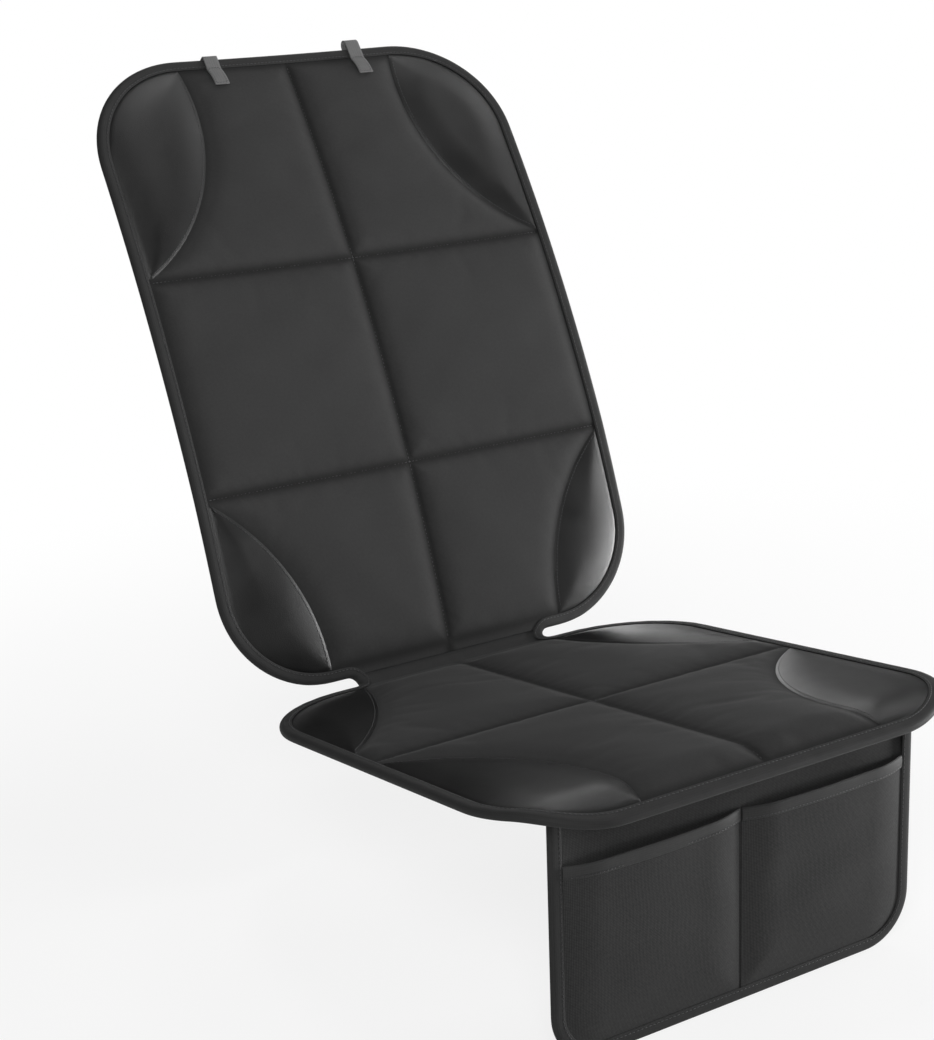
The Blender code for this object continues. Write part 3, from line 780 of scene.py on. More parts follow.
@dataclass(frozen=True)
class GripLining:
    """Backing cloth with rows of small moulded rubber dots that keep it from sliding."""

    name: str = "dotted_backing_cloth"
    dark: str = "#161617"
    light: str = "#262628"
    rubber: str = "#0c0c0d"
    dot_pitch_mm: float = 9.0
    dot_radius_mm: float = 1.6
    relief_mm: float = 0.4

    def build(self) -> bpy.types.Material:
        """Build the lining's material.

        Returns:
            The material.
        """
        material, tree, shader = fresh_material(self.name)
        uv = add_node(tree, "ShaderNodeUVMap", uv_map="flat").outputs["UV"]
        pitch = self.dot_pitch_mm * MM
        cells = add_node(tree, "ShaderNodeVectorMath", {0: uv, 1: (1 / pitch, 1 / pitch, 1.0)},
                         operation="MULTIPLY").outputs[0]
        inside = add_node(tree, "ShaderNodeVectorMath", {0: cells}, operation="FRACTION").outputs[0]
        centred = add_node(tree, "ShaderNodeVectorMath", {0: inside, 1: (0.5, 0.5, 0.0)},
                           operation="SUBTRACT").outputs[0]
        reach = add_node(tree, "ShaderNodeVectorMath", {0: centred}, operation="LENGTH").outputs["Value"]
        radius = self.dot_radius_mm / self.dot_pitch_mm
        dot = add_node(tree, "ShaderNodeMapRange",
                       {"Value": reach, "From Min": radius * 1.15, "From Max": radius * 0.85})
        fuzz = add_node(tree, "ShaderNodeTexNoise", {"Vector": uv, "Scale": 420.0, "Detail": 4.0})
        cloth = ramp(tree, fuzz.outputs["Fac"], ((0.3, self.dark), (0.7, self.light)))
        colour = add_node(tree, "ShaderNodeMix", {0: dot.outputs[0], 6: cloth, 7: srgb(self.rubber)},
                          data_type="RGBA").outputs[2]
        height = add_node(tree, "ShaderNodeMath", {0: fuzz.outputs["Fac"], 1: 0.2, 2: dot.outputs[0]},
                          operation="MULTIPLY_ADD").outputs[0]
        bump = add_node(tree, "ShaderNodeBump", {"Strength": 0.9, "Distance": self.relief_mm * MM,
                                                 "Height": height})
        rough = add_node(tree, "ShaderNodeMapRange",
                         {"Value": dot.outputs[0], "To Min": 0.9, "To Max": 0.5})
        tree.links.new(colour, shader.inputs["Base Color"])
        tree.links.new(rough.outputs[0], shader.inputs["Roughness"])
        tree.links.new(bump.outputs["Normal"], shader.inputs["Normal"])
        shader.inputs["Specular IOR Level"].default_value = 0.3
        return material


@dataclass(frozen=True)
class SewingThread:
    """Bonded polyester sewing thread: smooth, round and slightly shiny."""

    name: str = "sewing_thread"
    dark: str = "#232325"
    light: str = "#303032"

    def build(self) -> bpy.types.Material:
        """Build the thread's material.

        Returns:
            The material.
        """
        material, tree, shader = fresh_material(self.name)
        place = add_node(tree, "ShaderNodeTexCoord").outputs["Object"]
        twist = add_node(tree, "ShaderNodeTexNoise", {"Vector": place, "Scale": 900.0, "Detail": 2.0})
        tone = ramp(tree, twist.outputs["Fac"], ((0.35, self.dark), (0.65, self.light)))
        tree.links.new(tone, shader.inputs["Base Color"])
        shader.inputs["Roughness"].default_value = 0.5
        shader.inputs["Sheen Weight"].default_value = 0.2
        return material


@dataclass(frozen=True)
class Finishes:
    """Every material of the mat."""

    cloth: bpy.types.Material
    leatherette: bpy.types.Material
    tape: bpy.types.Material
    hem: bpy.types.Material
    webbing: bpy.types.Material
    lining: bpy.types.Material
    pocket: bpy.types.Material
    thread: bpy.types.Material

    @classmethod
    def build(cls) -> "Finishes":
        """Make the materials.

        Returns:
            All of the mat's materials.
        """
        return cls(
            cloth=WovenCloth("oxford_cloth", "#2e2e2e", "#3b3b3b").build(),
            leatherette=Leatherette().build(),
            tape=RibbedTape("binding_tape", "#1c1c1c", "#2a2a2a", sheen=0.05).build(),
            hem=RibbedTape("hem_tape", "#242424", "#363636", sheen=0.05).build(),
            webbing=RibbedTape("strap_webbing", "#525252", "#727272", rib_mm=1.6,
                               relief_mm=0.25).build(),
            lining=GripLining().build(),
            pocket=WovenCloth("pocket_oxford_cloth", "#242424", "#3e3e3e", thread_mm=1.4,
                              relief_mm=0.18, mottle=0.2).build(),
            thread=SewingThread().build(),
        )


# Outlines of the flat mat

def arc(cx: float, cs: float, radius: float, start: float, end: float, steps: int) -> Points:
    """Return points on an arc, with its angles in degrees."""
    angles = (math.radians(start + (end - start) * i / steps) for i in range(steps + 1))
    return [(cx + radius * math.cos(a), cs + radius * math.sin(a)) for a in angles]


def mirrored(right: Points) -> Points:
    """Close a right-hand outline with its mirror image."""
    return right + [(-x, s) for x, s in reversed(right)]


def finer(outline: Points, base: Points, step: float) -> Points:
    """Divide the long runs of a closed outline as its base outline is divided.

    Args:
        outline: The outline to divide.
        base: The outline whose lengths set the number of divisions.
        step: The longest run that is left, measured on the base.

    Returns:
        The divided outline.
    """
    points: Points = []
    pairs = zip(outline, outline[1:] + outline[:1], base, base[1:] + base[:1])
    for start, end, base_start, base_end in pairs:
        count = max(1, math.ceil(math.dist(base_start, base_end) / step - 1e-6))
        for i in range(count):
            t = i / count
            points.append((start[0] + t * (end[0] - start[0]), start[1] + t * (end[1] - start[1])))
    return points


@dataclass(frozen=True)
class MatOutline:
    """The mat's outline, at any distance in from its edge."""

    corner_steps: int = 20
    notch_steps: int = 12

    def back_corners(self, inset: float) -> Points:
        """Draw the back section's right-hand corners.

        Args:
            inset: Distance in from the mat's edge.

        Returns:
            The points of both corners, bottom first.
        """
        bottom, top = SIZES.back_bottom_radius, SIZES.back_top_radius
        low = arc(SIZES.half - bottom, SIZES.notch_radius + bottom, bottom - inset, -90, 0,
                  self.corner_steps)
        high = arc(SIZES.half - top, SIZES.back_length - top, top - inset, 0, 90, self.corner_steps)
        return low + high

    def seat_corners(self, inset: float) -> Points:
        """Draw the seat section's right-hand corners.

        Args:
            inset: Distance in from the mat's edge.

        Returns:
            The points of both corners, front first.
        """
        rear, front = SIZES.seat_rear_radius, SIZES.seat_front_radius
        low = arc(SIZES.half - front, front - SIZES.seat_length, front - inset, -90, 0,
                  self.corner_steps)
        high = arc(SIZES.half - rear, -SIZES.notch_radius - rear, rear - inset, 0, 90,
                   self.corner_steps)
        return low + high

    def tip(self, inset: float) -> Points:
        """Return the end of the right-hand notch."""
        centre = SIZES.waist_width / 2 + SIZES.notch_radius
        return arc(centre, 0.0, SIZES.notch_radius + inset, 270, 90, self.notch_steps)

    def whole(self, inset: float) -> Points:
        """Return the whole mat's outline."""
        return mirrored(self.seat_corners(inset) + self.tip(inset) + self.back_corners(inset))

    def waist(self) -> Points:
        """Draw the cloth fold in the crease.

        Returns:
            The fold's outline.
        """
        radius = SIZES.notch_radius + SIZES.pad_inset
        reach = math.degrees(math.asin((radius - SIZES.clearance) / radius))
        centre = SIZES.waist_width / 2 + SIZES.notch_radius
        return mirrored(arc(centre, 0.0, radius, 180 + reach, 180 - reach, self.notch_steps))


OUTLINE = MatOutline()


def pillow(distance: np.ndarray, shoulder: float) -> np.ndarray:
    """Return how far padding has risen, 0 to 1, at a distance from what holds it down."""
    t = np.clip(distance / shoulder, 0.0, 1.0)
    return 1 - (1 - t) ** 2


def eased(t: np.ndarray) -> np.ndarray:
    """Return an eased 0 to 1 step."""
    t = np.clip(t, 0.0, 1.0)
    return t * t * (3 - 2 * t)


@dataclass(frozen=True)
class CornerPad:
    """A leatherette corner pad on the right, between a bowed seam and the corner."""

    name: str
    end: float
    corner: float
    end_x: float
    side_s: float
    bow: float
    rim: float = 0.0003
    rim_width: float = 0.0022
    rim_rings: tuple[float, ...] = (0.0011, 0.0013, 0.0022)
    skin_lift: float = 0.0002
    puff: float = 0.0050
    shoulder: float = 0.034
    seat_depth: float = 0.0002
    stitch_inset: float = 0.0030
    thread_lift: float = 0.00012
    cell: float = 0.0045
    steps: int = 28

    @property
    def outward(self) -> int:
        """1 where the corner lies at the greater s, -1 at the lesser."""
        return 1 if self.end > self.side_s else -1

    @property
    def start(self) -> tuple[float, float]:
        """Where the seam meets the end border."""
        return (self.end_x, self.end - self.outward * SIZES.border)

    @property
    def finish(self) -> tuple[float, float]:
        """Where the seam meets the side border."""
        return (SIZES.half - SIZES.border, self.side_s)

    @property
    def radius(self) -> float:
        """Radius of the bowed seam."""
        chord = math.dist(self.start, self.finish)
        return (chord * chord / 4 + self.bow * self.bow) / (2 * self.bow)

    @property
    def centre(self) -> tuple[float, float]:
        """Find the centre of the bowed seam's arc.

        Returns:
            Its x and s.
        """
        across = self.finish[0] - self.start[0]
        along = self.finish[1] - self.start[1]
        chord = math.hypot(across, along)
        offset = self.radius - self.bow
        return ((self.start[0] + self.finish[0]) / 2 - self.outward * along / chord * offset,
                (self.start[1] + self.finish[1]) / 2 + self.outward * across / chord * offset)

    def seam_distance(self, x: np.ndarray, s: np.ndarray) -> np.ndarray:
        """Return the distance outside the bowed seam, less than zero inside it."""
        return np.hypot(x - self.centre[0], s - self.centre[1]) - self.radius

    def angle_at(self, point: tuple[float, float]) -> float:
        """Return the direction from the seam's centre to a point, in degrees."""
        centre = self.centre
        return math.degrees(math.atan2(point[1] - centre[1], point[0] - centre[0])) % 360

    def seam(self, spread: float, steps: int) -> Points:
        """Return points along the bowed seam, moved away from the pad by spread."""
        return arc(*self.centre, self.radius + spread, self.angle_at(self.start),
                   self.angle_at(self.finish), steps)

    def outline(self, spread: float) -> Points:
        """Draw the pad.

        Args:
            spread: How far the outline is grown.

        Returns:
            The pad's closed outline.
        """
        middle = (SIZES.half - self.corner, self.end - self.outward * self.corner)
        radius = self.corner - SIZES.border + spread
        outer = arc(*middle, radius, 0, 90 * self.outward, OUTLINE.corner_steps)
        inner = self.seam(spread, self.steps)
        inner[0] = (inner[0][0], self.start[1] + self.outward * spread)
        inner[-1] = (self.finish[0] + spread, inner[-1][1])
        if math.dist(outer[-1], inner[0]) < 1e-5:
            outer.pop()
        return outer + inner

    def edge(self, x: np.ndarray, s: np.ndarray) -> np.ndarray:
        """Measure from the border of the section, round the corner too.

        Args:
            x: Places across the mat.
            s: Places along it.

        Returns:
            The distance in from the border.
        """
        across = x - (SIZES.half - self.corner)
        along = self.outward * (s - self.end) + self.corner
        rounded = self.corner - np.hypot(across, along)
        straight = np.minimum(SIZES.half - x, self.outward * (self.end - s))
        return np.where((across > 0) & (along > 0), rounded, straight) - SIZES.border

    def height(self, x: np.ndarray, s: np.ndarray) -> np.ndarray:
        """Shape the pad's face: a rounded lip at its seams and soft filling inside.

        Args:
            x: Places across the mat.
            s: Places along it.

        Returns:
            The height of the face.
        """
        held = np.minimum(self.edge(x, s), -self.seam_distance(x, s))
        lip = self.rim * eased(held / self.rim_width)
        return SIZES.pad_edge + self.skin_lift + lip + self.puff * pillow(held, self.shoulder)

    def thread_height(self, x: np.ndarray, s: np.ndarray) -> np.ndarray:
        """Return the height of the thread on the pad or its twin."""
        return self.height(np.abs(x), s) + self.thread_lift

    def build(self, material: bpy.types.Material) -> list[bpy.types.Object]:
        """Model the pad and its twin on the left.

        Args:
            material: The pads' material.

        Returns:
            The right and the left pad.
        """
        outline = self.outline(0.0)
        piece = outline_sheet(f"{self.name}_right_skin", outline)
        with editing(piece):
            for width in self.rim_rings:
                bpy.ops.mesh.inset(thickness=width, use_boundary=True, use_even_offset=True)
        xs, ss = [p[0] for p in outline], [p[1] for p in outline]
        slice_sheet(piece, even_levels((min(xs), max(xs)), self.cell)[1:-1],
                    even_levels((min(ss), max(ss)), self.cell)[1:-1])
        points = coords(piece)
        form_sheet(piece, self.height(points[:, 0], points[:, 1]),
                   SIZES.pad_edge - self.seat_depth + SIZES.clearance, PROFILE.drape)
        twin = mirrored_copy(piece, f"{self.name}_left_skin")
        dress(piece, material, Slot.LEATHERETTE, f"{self.name}_right", smooth=60.0)
        dress(twin, material, Slot.LEATHERETTE, f"{self.name}_left", smooth=60.0)
        return [piece, twin]


@dataclass(frozen=True)
class StitchRow:
    """A row of stitches along a line on the mat."""

    line: Points
    height: Callable[[np.ndarray, np.ndarray], np.ndarray]
    place: Place
    pitch: float = 0.0042
    length: float = 0.0030
    thickness: float = 0.0007
    closed: bool = False

    def stations(self) -> tuple[np.ndarray, np.ndarray]:
        """Space the stitches evenly along the line.

        Returns:
            The middle and the direction of every stitch.
        """
        line = np.array(self.line + self.line[:1] if self.closed else self.line)
        reach = reaches(line)
        count = max(2, int(reach[-1] / self.pitch))
        where = (np.arange(count) + 0.5) * reach[-1] / count
        ends = [np.stack([np.interp(where + side * self.length / 2, reach, line[:, axis])
                          for axis in (0, 1)], axis=1) for side in (-1, 1)]
        return (ends[0] + ends[1]) / 2, ends[1] - ends[0]


class Stitching:
    """Stitches of one part of the mat, joined as one piece."""

    def __init__(self, name: str) -> None:
        """Start with no stitches."""
        self.name = name
        self.rows: list[StitchRow] = []

    def build(self, material: bpy.types.Material) -> bpy.types.Object:
        """Copy one modelled stitch along every row.

        Args:
            material: The thread's material.

        Returns:
            The stitches as one piece.
        """
        deselect()
        bpy.ops.mesh.primitive_uv_sphere_add(segments=6, ring_count=5, radius=0.5)
        stitch = bpy.context.object
        with editing(stitch):
            bpy.ops.transform.rotate(value=math.pi / 2, orient_axis="Y", center_override=(0, 0, 0))
        shape = coords(stitch)
        faces = [tuple(face.vertices) for face in stitch.data.polygons]
        made, every = [], []
        for row in self.rows:
            middle, along = row.stations()
            ahead = along / np.hypot(*along.T)[:, None]
            aside = np.stack((-ahead[:, 1], ahead[:, 0]), axis=1)
            for at, a, b in zip(middle, ahead, aside):
                flat = at + shape[:, :1] * row.length * a + shape[:, 1:2] * row.thickness * b
                high = row.height(flat[:, 0], flat[:, 1]) + shape[:, 2] * row.thickness
                every.extend(tuple(i + len(made) * len(shape) for i in face) for face in faces)
                made.append(row.place(np.column_stack((flat, high))))
        mesh = bpy.data.meshes.new(self.name)
        mesh.from_pydata(np.concatenate(made).tolist(), [], every)
        bpy.data.objects.remove(stitch, do_unlink=True)
        piece = new_object(self.name, mesh)
        face_outward(piece)
        return dress(piece, material, Slot.TAPE, smooth=80.0)


@dataclass
class QuiltedSection:
    """One padded section: a quilted cloth face sewn down along its seams."""

    name: str
    low: float
    high: float
    low_radius: float
    high_radius: float
    seams: tuple[float, ...]
    pads: tuple[CornerPad, ...]
    corners: Callable[[float], Points]
    cell: float = 0.006
    puff: float = 0.0080
    shoulder: float = 0.027
    seam_lift: float = 0.0004
    groove: float = 0.0010
    groove_width: float = 0.0026
    # Width of the shade painted beside the seams.
    shade_width: float = 0.0058
    pucker: float = 0.00013
    pucker_reach: float = 0.007
    pucker_width: float = 0.006
    billow: float = 0.0005
    sewn_width: float = 0.0016
    stray: float = 0.002
    frames: int = 20

    def edge_distance(self, x: np.ndarray, s: np.ndarray) -> np.ndarray:
        """Measure from the section's outline.

        Args:
            x: Places across the mat.
            s: Places along it.

        Returns:
            The distance inside the outline.
        """
        x = np.abs(x)
        inside = np.minimum(SIZES.half - x, np.minimum(s - self.low, self.high - s))
        for end, radius, sign in ((self.low, self.low_radius, 1.0),
                                  (self.high, self.high_radius, -1.0)):
            across = x - (SIZES.half - radius)
            along = (end + sign * radius - s) * sign
            rounded = radius - np.hypot(across, along)
            inside = np.where((across > 0) & (along > 0), rounded, inside)
        return inside

    def seam_distance(self, x: np.ndarray, s: np.ndarray) -> np.ndarray:
        """Return the distance from the nearest quilting seam."""
        rows = [np.abs(x)] + [np.abs(s - seam) for seam in self.seams]
        return np.minimum.reduce(rows)

    def pad_distance(self, x: np.ndarray, s: np.ndarray) -> np.ndarray:
        """Measure from the corner pads.

        Args:
            x: Places across the mat.
            s: Places along it.

        Returns:
            The distance outside the nearest pad, less than zero inside one.
        """
        reach = [np.where(pad.outward * (s - (pad.side_s - pad.outward * 0.05)) > 0,
                          pad.seam_distance(np.abs(x), s), 1.0) for pad in self.pads]
        return np.minimum.reduce(reach)

    def held_distance(self, x: np.ndarray, s: np.ndarray) -> np.ndarray:
        """Measure from whatever holds the cloth down.

        Args:
            x: Places across the mat.
            s: Places along it.

        Returns:
            The distance from the nearest seam, edge or corner pad, zero under a pad.
        """
        edge = self.edge_distance(x, s) - SIZES.border
        held = np.minimum(edge, np.minimum(self.seam_distance(x, s), self.pad_distance(x, s)))
        return np.maximum(held, 0.0)

    def base(self, x: np.ndarray, s: np.ndarray) -> np.ndarray:
        """Find where the cloth is held down: lower at its edges, lowest under the pads.

        Args:
            x: Places across the mat.
            s: Places along it.

        Returns:
            The height at which it is held.
        """
        edge = np.clip((self.edge_distance(x, s) - SIZES.border) / 0.006, 0.0, 1.0)
        pads = np.clip(self.pad_distance(x, s) / 0.004, 0.0, 1.0)
        return SIZES.pad_edge + self.seam_lift * edge * pads - 0.0003 * (1 - pads)

    def painted_shade(self, x: np.ndarray, s: np.ndarray) -> np.ndarray:
        """Find how much shade is painted into the cloth beside its seams, edges and pads.

        Args:
            x: Places across the mat.
            s: Places along it.

        Returns:
            The painted shade, 0 to 1.
        """
        seam = np.exp(-(self.seam_distance(x, s) / self.shade_width) ** 2)
        edge = np.exp(-((self.edge_distance(x, s) - SIZES.border) / self.shade_width) ** 2)
        pads = np.exp(-(self.pad_distance(x, s) / (0.6 * self.shade_width)) ** 2)
        return np.maximum(seam, np.maximum(0.8 * edge, 0.6 * pads))

    def inflate(self, piece: bpy.types.Object) -> None:
        """Fill the flat cloth by simulation, sewn down at its seams.

        Args:
            piece: The sliced cloth sheet, whose points are moved.
        """
        points = coords(piece)
        x, s = points[:, 0].copy(), points[:, 1].copy()
        held, base = self.held_distance(x, s), self.base(x, s)
        shape = base + 0.6 * self.puff * pillow(held, self.shoulder)
        smooth = base + self.puff * pillow(held, self.shoulder)
        set_coords(piece, np.column_stack((x, s, shape)))
        group = piece.vertex_groups.new(name="sewn_down")
        group.add(np.flatnonzero(held < self.sewn_width).tolist(), 1.0, "REPLACE")
        take(piece)
        bpy.ops.object.modifier_add(type="CLOTH")
        cloth = piece.modifiers[-1]
        cloth.settings.quality = 6
        cloth.settings.mass = 0.25
        cloth.settings.tension_stiffness = 18.0
        cloth.settings.compression_stiffness = 12.0
        cloth.settings.shear_stiffness = 6.0
        cloth.settings.bending_stiffness = 0.6
        cloth.settings.vertex_group_mass = group.name
        cloth.settings.use_pressure = True
        cloth.settings.uniform_pressure_force = 4.0
        cloth.settings.shrink_min = -0.012
        cloth.settings.effector_weights.gravity = 0.0
        cloth.collision_settings.use_collision = False
        cloth.point_cache.frame_end = self.frames
        scene = bpy.context.scene
        for number in range(1, self.frames + 1):
            scene.frame_set(number)
        bpy.ops.object.modifier_apply(modifier=cloth.name)
        scene.frame_set(1)
        blown = coords(piece)
        rise = np.maximum(blown[:, 2] - base, 0.0)
        rise *= self.puff / max(np.percentile(rise, 97), 1e-6)
        rise = np.minimum(rise, self.puff * 1.12)
        mixed = 0.55 * rise + 0.45 * (smooth - base)
        blown[:, 2] = base + mixed * eased(held / 0.010)
        strayed = np.clip(blown[:, :2] - points[:, :2], -self.stray, self.stray)
        blown[:, :2] = strayed + points[:, :2]
        set_coords(piece, blown)
        piece.vertex_groups.clear()

    def sew(self, piece: bpy.types.Object) -> None:
        """Press the seams into the filled cloth, with the small puckers that thread pulls.

        Args:
            piece: The filled cloth, whose points are moved.
        """
        points = coords(piece)
        x, s, h = points.T
        seam = self.seam_distance(x, s)
        free = eased((self.edge_distance(x, s) - SIZES.border) / 0.004)
        free *= eased(self.pad_distance(x, s) / 0.004)
        h = h - self.groove * np.exp(-(seam / self.groove_width) ** 2) * free
        beat = np.sin(2 * math.pi * (x + s) / 0.013 + 1.7 * np.sin(41.0 * x - 29.0 * s))
        beat += 0.6 * np.sin(2 * math.pi * (x - s) / 0.021 + 2.3 * np.sin(23.0 * x + 37.0 * s))
        near = np.exp(-((seam - self.pucker_reach) / self.pucker_width) ** 2)
        h = h + self.pucker * beat * near * free
        cloud = np.sin(17 * x + 9 * np.sin(11 * s)) * np.sin(13 * s + 7 * np.sin(9 * x))
        h = h + self.billow * cloud * eased(self.held_distance(x, s) / 0.05)
        set_coords(piece, np.column_stack((x, s, h)))

    def build(self, finishes: Finishes) -> bpy.types.Object:
        """Model the section's cloth face and filling.

        Args:
            finishes: The mat's materials.

        Returns:
            The padded section.
        """
        piece = outline_sheet(f"{self.name}_quilting", mirrored(self.corners(SIZES.pad_inset)))
        across = even_levels((-SIZES.half, 0.0, SIZES.half), self.cell)[1:-1]
        along = even_levels((self.low, *sorted(self.seams), self.high), self.cell)[1:-1]
        slice_sheet(piece, across, along)
        self.inflate(piece)
        finish_modifier(piece, "SUBSURF", levels=1, render_levels=1)
        self.sew(piece)
        close_under(piece, 0.0)
        points = coords(piece)
        keep_uv(piece, points[:, :2])
        # Store the painted shade beside the seams, edges and pads for the cloth's material.
        keep_attribute(piece, "painted_shade", self.painted_shade(points[:, 0], points[:, 1]))
        set_coords(piece, PROFILE.drape(points))
        dress(piece, finishes.cloth, Slot.CLOTH, self.name, smooth=60.0)
        for pad in self.pads:
            pad.build(finishes.leatherette)
        return piece

    def stitches(self, material: bpy.types.Material) -> bpy.types.Object:
        """Sew the quilting seams and the seams of the corner pads.

        Args:
            material: The thread's material.

        Returns:
            The section's stitches as one piece.
        """
        def seam_height(x: np.ndarray, s: np.ndarray) -> np.ndarray:
            """Return the height of the thread down in the seam's groove."""
            return self.base(x, s) - self.groove + 0.0002

        sewing = Stitching(f"{self.name}_stitching")
        middle = (self.low + self.high) / 2
        reach = (self.high - self.low) / 2 - SIZES.border
        sewing.rows.append(StitchRow([(0.0, middle - reach), (0.0, middle + reach)], seam_height,
                                     PROFILE.drape))
        side = SIZES.half - SIZES.border - 0.001
        for seam in self.seams:
            sewing.rows.append(StitchRow([(-side, seam), (side, seam)], seam_height, PROFILE.drape))
        for pad in self.pads:
            line = pad.seam(-pad.stitch_inset, 60)[2:-2]
            for hand in Side:
                sewing.rows.append(StitchRow([(x * hand.value, s) for x, s in line],
                                             pad.thread_height, PROFILE.drape, pitch=FINE_PITCH,
                                             length=FINE_STITCH))
        return sewing.build(material)


@dataclass(frozen=True)
class EdgeBinding:
    """The folded tape round the mat's whole edge."""

    step: float = 0.008
    stitch_inset: float = 0.0098
    ripple: float = 0.00015
    rippled_columns: int = 5

    def section(self) -> Points:
        """Draw the tape's outer face across its fold.

        Returns:
            The inset from the edge and the height of each point, from the top side round.
        """
        high, low, width = SIZES.tape_high, SIZES.tape_low, SIZES.tape_width
        return [(width, high - 0.0002), (width - 0.0012, high + 0.0003), (0.0085, high + 0.0002),
                (0.0055, high + 0.0006), (0.0030, high + 0.0004), (0.0012, high - 0.0006),
                (0.0002, high - 0.0022), (0.0, (high + low) / 2), (0.0003, low + 0.0020),
                (0.0014, low + 0.0006), (0.0035, low), (0.0080, low), (width, low + 0.0001)]

    def build(self, material: bpy.types.Material) -> bpy.types.Object:
        """Sweep the tape's section round the edge.

        Args:
            material: The tape's material.

        Returns:
            The tape.
        """
        base = OUTLINE.whole(0.0)
        section = self.section()
        paths = [finer(OUTLINE.whole(inset), base, self.step) for inset, _ in section]
        reach, wide = reaches(paths[0] + paths[0][:1]), reaches(section)
        count = len(paths[0])

        def place(row: int, column: int) -> Sequence[float]:
            """Place a point of the tape, whose upper side ripples a little.

            Args:
                row: The point's number along the edge.
                column: Its number across the fold.

            Returns:
                Its x, s and height.
            """
            x, s = paths[column][row % count]
            ripple = self.ripple * math.sin(reach[row] * 310.0) * math.sin(reach[row] * 47.0)
            return (x, s, section[column][1] + (ripple if column < self.rippled_columns else 0.0))

        piece = ribbon("edge_tape", count + 1, len(section), place,
                       lambda row, column: (reach[row], wide[column]))
        with editing(piece):
            bpy.ops.mesh.remove_doubles(threshold=0.00001)
        finish_modifier(piece, "SUBSURF", levels=1, render_levels=1)
        set_coords(piece, PROFILE.drape(coords(piece)))
        with editing(piece):
            bpy.ops.mesh.normals_make_consistent(inside=False)
        finish_modifier(piece, "SOLIDIFY", thickness=SIZES.tape_thickness * 0.9, offset=-1.0)
        face_outward(piece)
        return dress(piece, material, Slot.TAPE, "edge_binding", smooth=70.0)

    def stitches(self, material: bpy.types.Material) -> bpy.types.Object:
        """Sew the tape's top along its inner edge.

        Args:
            material: The thread's material.

        Returns:
            The stitches as one piece.
        """
        high = SIZES.tape_high + 0.0003
        line = finer(OUTLINE.whole(self.stitch_inset), OUTLINE.whole(0.0), self.step)
        sewing = Stitching("edge_stitching")
        sewing.rows.append(StitchRow(line, lambda x, s: np.full_like(x, high), PROFILE.drape,
                                     closed=True))
        return sewing.build(material)


@dataclass(frozen=True)
class Lining:
    """The underside cloth and the fold of face cloth in the crease."""

    cell: float = 0.012
    crease_cell: float = 0.003
    crease_reach: float = 0.030
    fold_thickness: float = 0.0030
    fold_press: float = 0.0003
    crumple: float = 0.0004

    def build(self, finishes: Finishes) -> list[bpy.types.Object]:
        """Model the lining and the fold.

        Args:
            finishes: The mat's materials.

        Returns:
            The lining and the fold.
        """
        sheet = outline_sheet("backing_sheet", OUTLINE.whole(SIZES.pad_inset))
        marks = (-SIZES.seat_length, -self.crease_reach, self.crease_reach, SIZES.back_length)
        along = even_levels(marks[:2], self.cell) + even_levels(marks[1:3], self.crease_cell)
        slice_sheet(sheet, even_levels((-SIZES.half, SIZES.half), self.cell * 2),
                    along + even_levels(marks[2:], self.cell))
        drop_slivers(sheet)
        form_sheet(sheet, -SIZES.clearance, SIZES.lining_low, PROFILE.drape)
        dress(sheet, finishes.lining, Slot.LINING, "mat_lining", smooth=60.0)
        fold = outline_sheet("crease_fold", OUTLINE.waist())
        slice_sheet(fold, even_levels((-0.12, 0.12), 0.006), even_levels((-0.012, 0.012), 0.0015))
        points = coords(fold)
        x, s = points[:, 0], points[:, 1]
        crumple = self.crumple * np.sin(x * 190.0 + 3.0 * np.sin(x * 61.0)) * np.exp(-(s / 0.006) ** 2)
        form_sheet(fold, self.fold_thickness + crumple - self.fold_press, 0.0, PROFILE.drape)
        dress(fold, finishes.cloth, Slot.CLOTH, "waist_fold", smooth=60.0)
        return [sheet, fold]

    def declare(self, sheet: bpy.types.Object) -> None:
        """Work out the lining's outline, which is not used further.

        Args:
            sheet: The lining; not used.
        """
        outline = np.array(OUTLINE.whole(SIZES.pad_inset))


